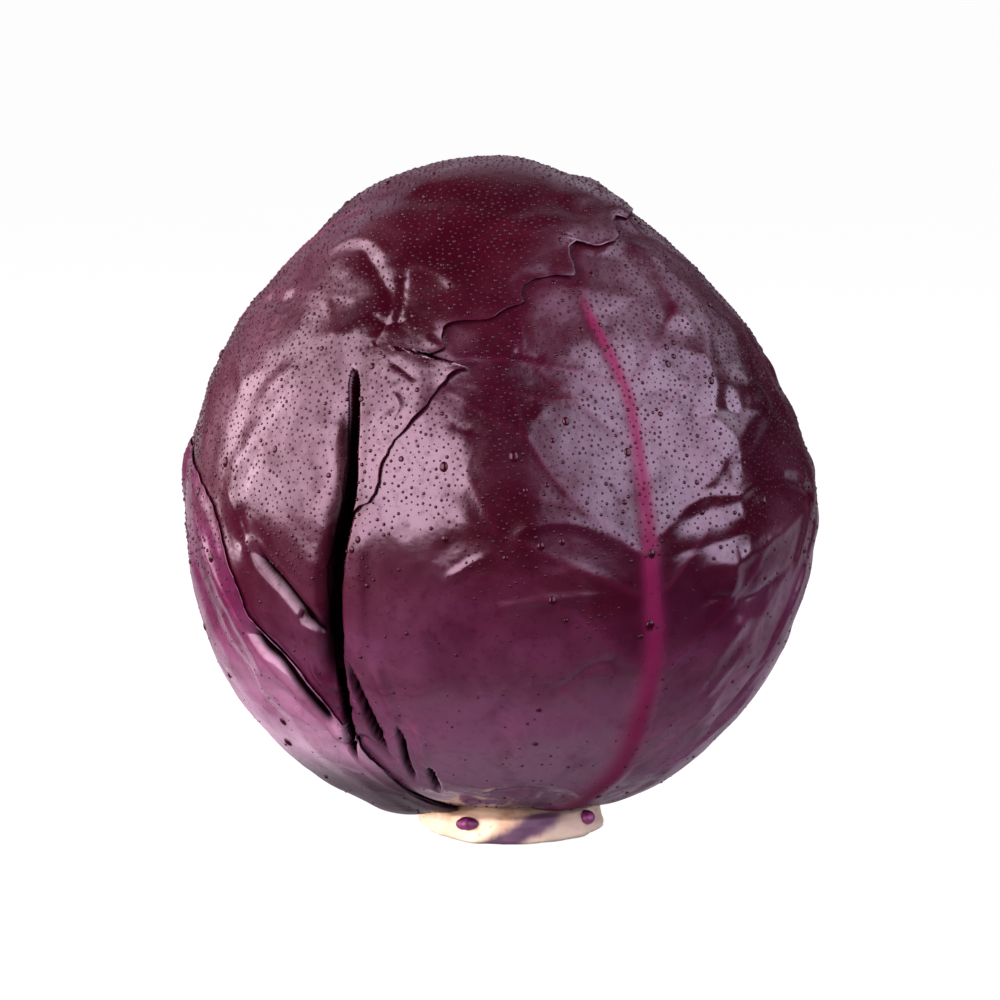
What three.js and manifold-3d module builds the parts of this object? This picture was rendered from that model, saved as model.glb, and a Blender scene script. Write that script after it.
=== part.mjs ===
// A head of red cabbage: five wrapper leaves closed round a dense heart, on a cut stem with two buds.
// Millimetres, +Z up, the cut face of the stem on z = 0 and the front of the head towards -Y.
//
// Every leaf is a layer of the same head. A place on the head is a direction from its centre, given as an
// azimuth (0 at the front, 90 at the right) and a polar angle (0 at the crown, 180 at the stem), in degrees.
// The layers share one net of directions, so a leaf clears the leaf under it in every facet.
import * as THREE from "three";
import { ConvexHull } from "three/addons/math/ConvexHull.js";
import { mergeVertices } from "three/addons/utils/BufferGeometryUtils.js";
import Module from "manifold-3d";

const wasm = await Module();
wasm.setup();

// ---------------------------------------------------------------- driving dimensions

const HEAD_CENTRE_HEIGHT = 82; // centre of the head above the cut face
const PROFILE_STEP = 15; // degrees between the radii of a profile, from the crown to the stem
const RIGHT_PROFILE = [82, 79, 74.2, 71.8, 71.4, 72.6, 75.4, 76.6, 77.8, 78.6, 78.6, 77.6, 76];
const LEFT_PROFILE = [82, 81.4, 79, 76, 75.2, 76, 76.4, 77.2, 78.2, 78.6, 78.2, 77.6, 76];
const WRAP_DEPTH = 3.2; // how far the heart lies inside the profiles, for the leaves round it

const BLADE_THICKNESS = 0.8;
const LAYER_GAP = 0.35; // clear space between one leaf and the next
const DRAPE_START = 11; // how far past a leaf's edge the next leaf stays at full height
const DRAPE_LENGTH = 12; // and how much further it takes to come down
const EDGE_BAND = 12; // width of the band that lifts towards a leaf's edge
const NECK_POLAR = 150; // below this the leaves are held flat by the stem

const STEM_RADIUS = 22.5; // at the collar
const STEM_LOBES = [
  { count: 2, size: 0.035, phase: 0.8 },
  { count: 3, size: 0.03, phase: 2.1 },
]; // how its outline differs from a circle
const STEM_SIDE_HEIGHT = 7.5; // height of the bare stump under the leaves
const CUT_INSET = 3.2; // how far the bark draws in from the collar to the cut face
const CORE_TOP_HEIGHT = 34; // height that the stem's core reaches inside the heart
const CORE_TOP_RADIUS = 9;
const CORE_STEP = { rise: 6, inset: 5 }; // how the collar draws in to the core above it
const STEM_SIDES = 36;

const NET_POINTS = 460; // even net of directions, before the creases add theirs
const CREASE_POINTS = 14; // places along a crease that its depth is measured from
const CREASE_STEP = 5.5; // distance between net points along a crease
const CREASE_SPACING = 3.3; // net points of two creases are no nearer than this
const CREASE_SHOULDER = 1.25; // a crease's shoulders stand this many widths from its bottom
const CREASE_CLEARANCE = 6.5; // even net points nearer than this to a crease point are left out

const CUT_RADIUS = 130; // reach of the solids that cut a leaf's outline
const CUT_RINGS = 6;
const OUTLINE_POINTS = 52;

// ---------------------------------------------------------------- leaves

// The leaves from the innermost to the outermost. An outline runs once round the leaf from its base, and a
// rib runs from the base to the tip. lift is how far the edge stands off, and waves are the edge's own
// ripples. veinSides tells on which sides of the rib, -1 and 1, side veins stand. To the right of the front
// leaf's rib the shoulder creases take their place.
const LEAVES = [
  {
    name: "leaf_back",
    color: 0x5d2346,
    centre: [-168, 88],
    outline: [
      [-140, 167], [-118, 164], [-112, 156], [-108, 144], [-102, 128], [-98, 110], [-96, 90], [-98, 70],
      [-106, 50], [-125, 34], [-155, 26], [175, 26], [148, 36], [130, 52], [120, 70], [116, 90], [118, 110],
      [122, 128], [130, 144], [140, 156], [150, 164], [170, 167],
    ],
    rib: [[-171, 168], [-174, 140], [-172, 115], [-168, 88], [-166, 62], [-168, 40]],
    lift: 0.9,
    waves: { height: 1.1, count: 17, phase: 0.4 },
    veinSides: [-1, 1],
  },
  {
    name: "leaf_right",
    color: 0x64264c,
    centre: [105, 92],
    outline: [
      [85, 167], [60, 164], [56, 156], [54, 146], [50, 132], [47, 115], [46, 98], [47, 80], [50, 62],
      [54, 44], [66, 27], [104, 18], [136, 26], [150, 44], [157, 64], [160, 84], [160, 104], [158, 124],
      [156, 142], [152, 156], [148, 164], [122, 167],
    ],
    rib: [[104, 168], [107, 140], [108, 115], [106, 90], [104, 64], [102, 42]],
    lift: 1.1,
    waves: { height: 1.2, count: 15, phase: 1.9 },
    veinSides: [-1, 1],
  },
  {
    name: "leaf_front",
    color: 0x6b2550,
    centre: [16, 95],
    outline: [
      [38, 167], [8, 168], [-26, 166], [-34, 158], [-42, 145], [-48, 130], [-52, 114], [-54, 98], [-52, 82],
      [-46, 68], [-36, 56], [-20, 46], [0, 38], [22, 28], [48, 23], [68, 29], [76, 42], [81, 60], [84, 80],
      [84, 100], [82, 118], [78, 134], [74, 146], [70, 157], [66, 165],
    ],
    rib: [[44, 168], [33, 138], [29, 117], [26, 95], [24, 75], [21, 56], [18, 43]],
    lift: 0.9,
    waves: { height: 1.0, count: 19, phase: 0.9 },
    veinSides: [-1],
  },
  {
    name: "leaf_crown",
    color: 0x551c40,
    centre: [-84, 66],
    outline: [
      [-92, 167], [-56, 166], [-47, 156], [-41, 145], [-36, 131], [-33, 122], [-32, 113], [-30, 104],
      [-29, 95], [-27, 87], [-22, 82], [-18, 73], [-13, 66], [-7, 61], [-13, 58], [-12, 53], [-1, 51],
      [7, 48], [18, 42], [24, 35], [36, 35], [47, 30], [60, 26], [88, 24], [120, 29], [146, 36], [165, 46],
      [-177, 60], [-165, 76], [-156, 92], [-150, 108], [-144, 124], [-138, 142], [-132, 156], [-126, 165],
    ],
    rib: [[-94, 168], [-97, 140], [-100, 116], [-102, 92], [-100, 66], [-88, 42], [-60, 24]],
    lift: 1.7,
    waves: { height: 0.7, count: 23, phase: 2.6 },
    veinSides: [-1, 1],
  },
  {
    name: "leaf_left",
    color: 0x7a3c66,
    centre: [-84, 116],
    outline: [
      [-36, 166], [-32, 159], [-34, 150], [-36, 140], [-38, 130], [-42, 121], [-46, 113], [-51, 106],
      [-56, 97], [-59, 88], [-64, 81], [-72, 77], [-84, 74], [-98, 71], [-114, 73], [-128, 82], [-136, 97],
      [-134, 114], [-126, 130], [-112, 145], [-98, 156], [-84, 163], [-60, 167],
    ],
    rib: [[-44, 168], [-42, 142], [-48, 121], [-60, 104], [-72, 90], [-84, 80]],
    lift: 1.3,
    waves: { height: 0.8, count: 15, phase: 1.2 },
    veinSides: [-1, 1],
  },
];

// An edge carries ripples, and finer ones between them: so many times as many, and this share of the height.
const FINE_RIPPLE = { often: 1.7, share: 0.6 };

const RIB = {
  baseWidth: 11,
  tipWidth: 2.4,
  baseHeight: 3.2,
  tipHeight: 0.7,
  sink: 0.45, // how far a rib's root lies in the blade
  cover: 0.15, // least thickness of blade left under a rib's root
  arch: [[0.72, 0.6], [0.3, 1], [-0.3, 1], [-0.72, 0.6]], // its back, in shares of the half width and height
  stations: 14,
};
const LATERAL = {
  starts: [0.3, 0.46, 0.62], // shares of the rib's length where a pair of side veins leaves it
  spread: 1.25, // how far a side vein heads sideways, in head radii
  bend: 0.35, // how far it turns up on the way
  rise: 0.24, // share of the rib's length that it climbs
  margin: 0.9, // it stops at this share of the way to the leaf's edge
  width: 2.8,
  height: 0.9,
  taper: 0.6, // share of the width and height lost at the end
  stations: 9,
};

// ---------------------------------------------------------------- creases and swells of the whole head

// A crease is a valley, or with a negative depth a fold, along a line of places. All layers follow it.
const CREASES = [
  {
    name: "cleft",
    line: [[-30, 62], [-28, 71], [-26, 80], [-29, 92], [-31, 106], [-32, 122], [-35, 132]],
    depth: 4.2,
    width: 3.6,
  },
  {
    name: "upper fold",
    line: [[-73, 80], [-60, 82], [-48, 91], [-42, 98], [-34, 105]],
    depth: 1.9,
    width: 3.4,
  },
  {
    name: "lower fold",
    line: [[-56, 95], [-51, 107], [-43, 115], [-38, 124], [-36, 136], [-34, 148]],
    depth: 2.2,
    width: 3.4,
  },
  {
    name: "crown pleat 1",
    line: [[-50, 36], [-38, 43], [-29, 50], [-26, 58]],
    depth: 1.8,
    width: 4,
  },
  {
    name: "crown pleat 2",
    line: [[-34, 34], [-22, 40], [-15, 47]],
    depth: -1.4,
    width: 4.5,
  },
  {
    name: "shoulder 1",
    line: [[30, 66], [42, 70], [54, 71], [68, 72]],
    depth: 1.5,
    width: 3.6,
  },
  {
    name: "shoulder 2",
    line: [[34, 84], [44, 85], [56, 83], [70, 80]],
    depth: 1.5,
    width: 3.6,
  },
  {
    name: "shoulder 3",
    line: [[30, 96], [42, 93], [56, 91], [70, 88]],
    depth: 1.3,
    width: 3.6,
  },
  {
    name: "shoulder 4",
    line: [[36, 103], [48, 102], [60, 98], [72, 94]],
    depth: 1.6,
    width: 3.6,
  },
  {
    name: "front wrinkle 1",
    line: [[-12, 97], [-2, 94], [8, 90]],
    depth: 0.8,
    width: 3.6,
  },
  {
    name: "front wrinkle 2",
    line: [[-2, 102], [9, 99], [20, 96]],
    depth: 0.9,
    width: 3.6,
  },
  {
    name: "front wrinkle 3",
    line: [[8, 114], [16, 110], [24, 111]],
    depth: 0.9,
    width: 3.6,
  },
  {
    name: "slit 1",
    line: [[-27, 117], [-26, 127], [-27, 136]],
    depth: 2.4,
    width: 2.6,
  },
  {
    name: "slit 2",
    line: [[-21, 127], [-22, 135], [-24, 143]],
    depth: 1.8,
    width: 2.6,
  },
];
const SWELLS = [
  { at: [-48, 66], height: 1.6, spread: 20 },
  { at: [-2, 78], height: 1.4, spread: 22 },
  { at: [52, 58], height: 1.2, spread: 15 },
  { at: [150, 70], height: -1.5, spread: 24 },
  { at: [-130, 60], height: 1.2, spread: 22 },
  { at: [120, 120], height: 1.2, spread: 22 },
  { at: [-60, 128], height: 1.2, spread: 18 },
];

const BUDS = [
  { name: "bud_left", azimuth: -21, height: 5.4, size: [2.7, 1.8, 1.7] },
  { name: "bud_right", azimuth: 60, height: 4.6, size: [2.6, 1.8, 1.8] },
];
const BUD_GAP = 0.3; // between a bud and the bark that it sits on
const BUD_STANDOFF = 0.45; // a bud's middle is this share of its depth outside the bark

// ---------------------------------------------------------------- places on the head

const DEGREE = Math.PI / 180;
const UP = new THREE.Vector3(0, 0, 1);

function directionOf([azimuth, polar]) {
  const across = Math.sin(polar * DEGREE);
  return new THREE.Vector3(
    across * Math.sin(azimuth * DEGREE),
    -across * Math.cos(azimuth * DEGREE),
    Math.cos(polar * DEGREE),
  );
}

function polarOf(direction) {
  return Math.acos(THREE.MathUtils.clamp(direction.z, -1, 1)) / DEGREE;
}

// A smooth line of directions through places on the head, as evenly spaced as the curve allows.
function curveThrough(places, count, closed = false) {
  const curve = new THREE.CatmullRomCurve3(places.map(directionOf), closed, "centripetal");
  const points = curve.getSpacedPoints(count);
  if (closed) points.pop();
  return points.map((p) => p.normalize());
}

const NOMINAL_RADIUS = 76;
const apart = (a, b) => NOMINAL_RADIUS * a.distanceTo(b);

function distanceToLine(direction, line) {
  let nearest = Infinity;
  const foot = new THREE.Vector3();
  const stretch = new THREE.Line3();
  for (let i = 1; i < line.length; i++) {
    stretch.set(line[i - 1], line[i]).closestPointToPoint(direction, true, foot);
    nearest = Math.min(nearest, apart(direction, foot));
  }
  return nearest;
}

// ---------------------------------------------------------------- the heart's surface

function profileRadius(profile, polar) {
  const place = THREE.MathUtils.clamp(polar / PROFILE_STEP, 0, profile.length - 1);
  const below = Math.min(Math.floor(place), profile.length - 2);
  const t = place - below;
  const at = (i) => profile[THREE.MathUtils.clamp(i, 0, profile.length - 1)];
  const [a, b, c, d] = [at(below - 1), at(below), at(below + 1), at(below + 2)];
  return b + 0.5 * t * (c - a + t * (2 * a - 5 * b + 4 * c - d + t * (3 * (b - c) + d - a)));
}

for (const crease of CREASES) crease.path = curveThrough(crease.line, CREASE_POINTS);
for (const swell of SWELLS) swell.direction = directionOf(swell.at);

function relief(direction) {
  let height = 0;
  for (const { path, depth, width } of CREASES)
    height -= depth * Math.exp(-((distanceToLine(direction, path) / width) ** 2));
  for (const swell of SWELLS)
    height += swell.height * Math.exp(-((apart(direction, swell.direction) / swell.spread) ** 2));
  return height;
}

function heartRadius(direction) {
  const polar = polarOf(direction);
  const across = Math.hypot(direction.x, direction.y);
  const rightness = across < 1e-6 ? 0.5 : 0.5 + (0.5 * direction.x) / across;
  const profile =
    profileRadius(RIGHT_PROFILE, polar) * rightness + profileRadius(LEFT_PROFILE, polar) * (1 - rightness);
  return profile - WRAP_DEPTH + relief(direction);
}

// ---------------------------------------------------------------- leaves as layers

// Round its centre a leaf is a fan: angle tells which way, reach tells how far its edge lies that way.
function prepareLeaf(leaf) {
  leaf.axis = directionOf(leaf.centre);
  leaf.east = new THREE.Vector3().crossVectors(UP, leaf.axis).normalize();
  leaf.north = new THREE.Vector3().crossVectors(leaf.axis, leaf.east);
  const plain = curveThrough(leaf.outline, OUTLINE_POINTS, true).map((d) => fanOf(leaf, d));
  leaf.edge = plain
    .map(({ angle, reach }) => {
      const neck = polarOf(fanDirection(leaf, angle, reach)) > NECK_POLAR ? 0 : 1;
      const { height, count, phase } = leaf.waves;
      const fine = FINE_RIPPLE.share * Math.sin(FINE_RIPPLE.often * count * angle + 2 * phase);
      const wave = Math.sin(count * angle + phase) + fine;
      return { angle, reach: reach + (neck * height * wave) / NOMINAL_RADIUS };
    })
    .sort((a, b) => a.angle - b.angle);
  leaf.rim = leaf.edge.map(({ angle, reach }) => fanDirection(leaf, angle, reach));
  leaf.rim.push(leaf.rim[0]);
}

function fanOf(leaf, direction) {
  const reach = leaf.axis.angleTo(direction);
  return { angle: Math.atan2(direction.dot(leaf.north), direction.dot(leaf.east)), reach };
}

function fanDirection(leaf, angle, reach) {
  return new THREE.Vector3()
    .addScaledVector(leaf.east, Math.cos(angle) * Math.sin(reach))
    .addScaledVector(leaf.north, Math.sin(angle) * Math.sin(reach))
    .addScaledVector(leaf.axis, Math.cos(reach));
}

function edgeReach(leaf, angle) {
  const { edge } = leaf;
  const next = edge.findIndex((e) => e.angle > angle);
  const b = edge[next < 0 ? 0 : next];
  const a = edge[next <= 0 ? edge.length - 1 : next - 1];
  const turn = 2 * Math.PI;
  const span = (b.angle - a.angle + turn) % turn || turn;
  const t = ((angle - a.angle + turn) % turn) / span;
  return a.reach + t * (b.reach - a.reach);
}

// How far out towards the leaf's edge a direction lies: 0 at the leaf's centre, 1 on its edge.
function shareOut(leaf, direction) {
  const { angle, reach } = fanOf(leaf, direction);
  return reach / edgeReach(leaf, angle);
}

// Millimetres from a leaf's edge, negative on the leaf and positive past it.
function distancePast(leaf, direction) {
  const distance = distanceToLine(direction, leaf.rim);
  return shareOut(leaf, direction) < 1 ? -distance : distance;
}

// The lower and upper radius of each leaf along a direction, counted up from the heart.
function layersAlong(direction) {
  let radius = heartRadius(direction);
  const held = THREE.MathUtils.smoothstep(polarOf(direction), NECK_POLAR - 25, NECK_POLAR);
  const layers = {};
  for (const leaf of LEAVES) {
    const past = distancePast(leaf, direction);
    const edge = THREE.MathUtils.smoothstep(past, -EDGE_BAND, 0);
    const lower = radius + LAYER_GAP + leaf.lift * edge * (1 - held);
    const upper = lower + BLADE_THICKNESS;
    layers[leaf.name] = { lower, upper };
    const cover = 1 - THREE.MathUtils.smoothstep(past, DRAPE_START, DRAPE_START + DRAPE_LENGTH);
    radius += (upper - radius) * cover;
  }
  return layers;
}

// ---------------------------------------------------------------- the shared net of directions

function evenDirections(count) {
  const goldenTurn = Math.PI * (3 - Math.sqrt(5));
  return Array.from({ length: count }, (_, i) => {
    const z = 1 - (2 * i + 1) / count;
    const across = Math.sqrt(1 - z * z);
    return new THREE.Vector3(across * Math.cos(i * goldenTurn), across * Math.sin(i * goldenTurn), z);
  });
}

// Three rows of points along each crease: its bottom, and a shoulder on either side.
function creaseDirections({ path, width }) {
  const curve = new THREE.CatmullRomCurve3(path);
  const count = Math.max(2, Math.round((NOMINAL_RADIUS * curve.getLength()) / CREASE_STEP));
  const rows = [];
  for (let i = 0; i <= count; i++) {
    const middle = curve.getPointAt(i / count).normalize();
    const side = new THREE.Vector3().crossVectors(curve.getTangentAt(i / count), middle).normalize();
    const step = (CREASE_SHOULDER * width) / NOMINAL_RADIUS;
    for (const k of [-1, 0, 1]) rows.push(middle.clone().addScaledVector(side, k * step).normalize());
  }
  return rows;
}

function makeNet() {
  const kept = [];
  const addUnlessNear = (direction, clearance) => {
    if (kept.every((k) => apart(k, direction) > clearance)) kept.push(direction);
  };
  for (const crease of CREASES)
    for (const direction of creaseDirections(crease)) addUnlessNear(direction, CREASE_SPACING);
  for (const direction of evenDirections(NET_POINTS)) addUnlessNear(direction, CREASE_CLEARANCE);
  const hull = new ConvexHull().setFromPoints(kept);
  const index = new Map(kept.map((direction, i) => [direction, i]));
  const triangles = [];
  for (const face of hull.faces) {
    const corners = [];
    let edge = face.edge;
    do {
      corners.push(index.get(edge.head().point));
      edge = edge.next;
    } while (edge !== face.edge);
    triangles.push(corners);
  }
  return { directions: kept, triangles };
}

for (const leaf of LEAVES) prepareLeaf(leaf);
const net = makeNet();
const netLayers = net.directions.map(layersAlong);

// ---------------------------------------------------------------- solids

function solidFrom(positions, triangles) {
  return new wasm.Manifold(
    new wasm.Mesh({
      numProp: 3,
      vertProperties: new Float32Array(positions.flatMap((p) => [p.x, p.y, p.z])),
      triVerts: new Uint32Array(triangles.flat()),
    }),
  );
}

// A closed body round the head's centre, with a radius for each direction of the net.
function bodyOf(radii) {
  return solidFrom(
    net.directions.map((d, i) => d.clone().multiplyScalar(radii[i])),
    net.triangles,
  );
}

// The cone from the head's centre through a leaf's edge, grown by some millimetres.
function outlineCone(leaf, growth = 0) {
  const rim = leaf.edge.length;
  const positions = [new THREE.Vector3(), leaf.axis.clone().multiplyScalar(CUT_RADIUS)];
  for (let ring = 1; ring <= CUT_RINGS; ring++)
    for (const { angle, reach } of leaf.edge) {
      const wide = ((reach + growth / NOMINAL_RADIUS) * ring) / CUT_RINGS;
      positions.push(fanDirection(leaf, angle, wide).multiplyScalar(CUT_RADIUS));
    }
  const at = (ring, i) => (ring === 0 ? 1 : 2 + (ring - 1) * rim + (i % rim));
  const triangles = [];
  for (let i = 0; i < rim; i++) {
    triangles.push([1, at(1, i), at(1, i + 1)]);
    for (let ring = 1; ring < CUT_RINGS; ring++) {
      triangles.push([at(ring, i), at(ring + 1, i), at(ring + 1, i + 1)]);
      triangles.push([at(ring, i), at(ring + 1, i + 1), at(ring, i + 1)]);
    }
    triangles.push([0, at(CUT_RINGS, i + 1), at(CUT_RINGS, i)]);
  }
  return solidFrom(positions, triangles);
}

function bladeSolid(leaf) {
  const upper = bodyOf(netLayers.map((layers) => layers[leaf.name].upper));
  const lower = bodyOf(netLayers.map((layers) => layers[leaf.name].lower));
  return upper.subtract(lower).intersect(outlineCone(leaf));
}

// What a leaf keeps for itself, with all that lies outside it. The ribs of the leaves below stay out of it.
function roomFrom(leaf) {
  const lower = bodyOf(netLayers.map((layers) => layers[leaf.name].lower - LAYER_GAP - RIB.cover));
  return outlineCone(leaf, LAYER_GAP).subtract(lower);
}

// The radius at which a direction leaves the faceted body with these radii.
function facetRadius(direction, radii) {
  const [a, b, c, normal] = [0, 1, 2, 3].map(() => new THREE.Vector3());
  for (const [i, j, k] of net.triangles) {
    const corners = [i, j, k].map((n) => net.directions[n]);
    const inside = corners.every((from, n) => {
      const to = corners[(n + 1) % 3];
      return normal.crossVectors(from, to).dot(direction) > -1e-9;
    });
    if (!inside) continue;
    a.copy(corners[0]).multiplyScalar(radii[i]);
    b.copy(corners[1]).multiplyScalar(radii[j]);
    c.copy(corners[2]).multiplyScalar(radii[k]);
    normal.crossVectors(b.sub(a), c.sub(a));
    return normal.dot(a) / normal.dot(direction);
  }
  throw new Error("a direction falls in no facet");
}

// A tapering ridge along a path on a leaf. section gives its outline as (across, up) points at a share along.
function ridgeSolid(leaf, path, section) {
  const curve = new THREE.CatmullRomCurve3(path);
  const stations = path.length - 1;
  const upper = netLayers.map((layers) => layers[leaf.name].upper);
  const positions = [];
  let sides = 0;
  for (let i = 0; i <= stations; i++) {
    const up = curve.getPointAt(i / stations).normalize();
    const along = curve.getTangentAt(i / stations);
    const across = new THREE.Vector3().crossVectors(along, up).normalize();
    const foot = up.clone().multiplyScalar(facetRadius(up, upper));
    const outline = section(i / stations);
    sides = outline.length;
    for (const [x, z] of outline)
      positions.push(foot.clone().addScaledVector(across, x).addScaledVector(up, z));
  }
  const at = (i, k) => i * sides + (k % sides);
  const triangles = [];
  for (let i = 0; i < stations; i++)
    for (let k = 0; k < sides; k++) {
      triangles.push([at(i, k), at(i, k + 1), at(i + 1, k + 1)]);
      triangles.push([at(i, k), at(i + 1, k + 1), at(i + 1, k)]);
    }
  for (let k = 1; k < sides - 1; k++) {
    triangles.push([at(0, 0), at(0, k + 1), at(0, k)]);
    triangles.push([at(stations, 0), at(stations, k), at(stations, k + 1)]);
  }
  const solid = solidFrom(positions, triangles);
  return solid.volume() < 0 ? solidFrom(positions, triangles.map(([a, b, c]) => [a, c, b])) : solid;
}

function midribSolid(leaf) {
  const path = curveThrough(leaf.rib, RIB.stations);
  return ridgeSolid(leaf, path, (t) => {
    const w = THREE.MathUtils.lerp(RIB.baseWidth, RIB.tipWidth, Math.sqrt(t)) / 2;
    const h = THREE.MathUtils.lerp(RIB.baseHeight, RIB.tipHeight, Math.sqrt(t));
    const arch = RIB.arch.map(([x, z]) => [x * w, z * h]);
    return [[-w, -RIB.sink], [w, -RIB.sink], ...arch];
  });
}

// A side vein leaves the midrib at a share of its length and climbs towards the edge on one side.
function lateralPath(leaf, start, side) {
  const spine = new THREE.CatmullRomCurve3(leaf.rib.map(directionOf), false, "centripetal");
  const root = spine.getPointAt(start).normalize();
  const aim = spine.getPointAt(Math.min(1, start + LATERAL.rise)).normalize();
  const along = spine.getTangentAt(start);
  const across = new THREE.Vector3().crossVectors(along, root).multiplyScalar(side).normalize();
  const path = [];
  for (let i = 0; i <= LATERAL.stations; i++) {
    const t = i / LATERAL.stations;
    const sideways = t * (LATERAL.spread - LATERAL.bend * t);
    const direction = root.clone().lerp(aim, t).addScaledVector(across, sideways).normalize();
    if (shareOut(leaf, direction) > LATERAL.margin) break;
    path.push(direction);
  }
  return path;
}

function lateralSolid(leaf, path) {
  return ridgeSolid(leaf, path, (t) => {
    const left = 1 - LATERAL.taper * t;
    const w = (LATERAL.width / 2) * left;
    return [[-w, -RIB.sink], [w, -RIB.sink], [0, LATERAL.height * left]];
  });
}

// ---------------------------------------------------------------- stem and buds

function stemRadius(azimuth) {
  const uneven = STEM_LOBES.map(({ count, size, phase }) => size * Math.sin(count * azimuth + phase));
  return STEM_RADIUS * (1 + uneven.reduce((a, b) => a + b));
}

function stemSolid(growth = 0) {
  const rings = [
    { z: -growth, inset: CUT_INSET },
    { z: 0.2 * STEM_SIDE_HEIGHT, inset: 0.4 * CUT_INSET },
    { z: 0.6 * STEM_SIDE_HEIGHT, inset: 0 },
    { z: STEM_SIDE_HEIGHT, inset: 0.3 },
    { z: STEM_SIDE_HEIGHT + CORE_STEP.rise, inset: CORE_STEP.inset },
    { z: CORE_TOP_HEIGHT + growth, inset: STEM_RADIUS - CORE_TOP_RADIUS },
  ];
  const positions = [];
  for (const { z, inset } of rings)
    for (let i = 0; i < STEM_SIDES; i++) {
      const azimuth = (2 * Math.PI * i) / STEM_SIDES;
      const r = stemRadius(azimuth) - inset + growth;
      positions.push(new THREE.Vector3(r * Math.sin(azimuth), -r * Math.cos(azimuth), z));
    }
  const bottom = positions.push(new THREE.Vector3(0, 0, rings[0].z)) - 1;
  const top = positions.push(new THREE.Vector3(0, 0, rings.at(-1).z)) - 1;
  const at = (ring, i) => ring * STEM_SIDES + (i % STEM_SIDES);
  const triangles = [];
  for (let i = 0; i < STEM_SIDES; i++) {
    triangles.push([bottom, at(0, i + 1), at(0, i)]);
    for (let ring = 1; ring < rings.length; ring++) {
      triangles.push([at(ring - 1, i), at(ring - 1, i + 1), at(ring, i + 1)]);
      triangles.push([at(ring - 1, i), at(ring, i + 1), at(ring, i)]);
    }
    triangles.push([top, at(rings.length - 1, i), at(rings.length - 1, i + 1)]);
  }
  return solidFrom(positions, triangles);
}

function budSolid({ azimuth, height, size }) {
  const sphere = new THREE.IcosahedronGeometry(1, 2).scale(...size);
  const distance = stemRadius(azimuth * DEGREE) + size[1] * BUD_STANDOFF;
  sphere
    .rotateZ(azimuth * DEGREE)
    .translate(distance * Math.sin(azimuth * DEGREE), -distance * Math.cos(azimuth * DEGREE), height);
  return solidOfGeometry(sphere);
}

function solidOfGeometry(geometry) {
  geometry.deleteAttribute("normal");
  geometry.deleteAttribute("uv");
  const merged = mergeVertices(geometry, 1e-4);
  return new wasm.Manifold(
    new wasm.Mesh({
      numProp: 3,
      vertProperties: merged.attributes.position.array,
      triVerts: new Uint32Array(merged.index.array),
    }),
  );
}

// ---------------------------------------------------------------- assembly

function meshOf(name, solid, { color, roughness, z = 0 }) {
  const { vertProperties, triVerts } = solid.getMesh();
  const geometry = new THREE.BufferGeometry();
  geometry.setAttribute("position", new THREE.BufferAttribute(vertProperties, 3));
  geometry.setIndex(new THREE.BufferAttribute(triVerts, 1));
  geometry.computeVertexNormals();
  const material = new THREE.MeshStandardMaterial({ color, roughness, metalness: 0 });
  const mesh = new THREE.Mesh(geometry, material);
  mesh.name = name;
  mesh.position.z = z;
  return mesh;
}

// The largest body of a solid, without the crumbs that a cut can leave.
function largestBody(solid) {
  return solid.decompose().reduce((a, b) => (b.volume() > a.volume() ? b : a));
}

const HEAD_UP = [0, 0, HEAD_CENTRE_HEIGHT];
const stem = stemSolid();
const buds = BUDS.map((bud) => ({ ...bud, solid: budSolid(bud) }));
const stemRoom = buds
  .reduce((room, bud) => room.add(bud.solid), stemSolid(BUD_GAP))
  .translate(HEAD_UP.map((c) => -c));

const cabbage = new THREE.Group();
cabbage.name = "red_cabbage";
cabbage.add(meshOf("stem", stem, { color: 0xcdb78e, roughness: 0.7 }));
for (const { name, solid } of buds)
  cabbage.add(meshOf(name, solid.subtract(stemSolid(BUD_GAP)), { color: 0x7c2569, roughness: 0.35 }));

const heart = largestBody(bodyOf(net.directions.map(heartRadius)).subtract(stemRoom));
cabbage.add(meshOf("heart", heart, { color: 0x6f3560, roughness: 0.5, z: HEAD_CENTRE_HEIGHT }));

LEAVES.forEach((leaf, i) => {
  const veins = [midribSolid(leaf)];
  for (const start of LATERAL.starts)
    for (const side of leaf.veinSides) {
      const path = lateralPath(leaf, start, side);
      if (path.length > 2) veins.push(lateralSolid(leaf, path));
    }
  const underside = bodyOf(netLayers.map((layers) => layers[leaf.name].lower + RIB.cover));
  let ridges = veins.reduce((all, vein) => all.add(vein)).subtract(underside);
  for (const above of LEAVES.slice(i + 1)) ridges = ridges.subtract(roomFrom(above));
  const solid = largestBody(bladeSolid(leaf).add(ridges).subtract(stemRoom));
  cabbage.add(meshOf(leaf.name, solid, { color: leaf.color, roughness: 0.4, z: HEAD_CENTRE_HEIGHT }));
});

export default cabbage;
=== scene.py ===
# A head of red cabbage, freshly washed: five wrapper leaves over a dense heart, on a cut stem with two buds,
# with drops of water on the leaves. Lengths in the formulas are in millimetres, and meshes are in metres.
import itertools
import math
import random

import bmesh
import bpy
import numpy as np
from mathutils import Matrix, Vector


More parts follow.
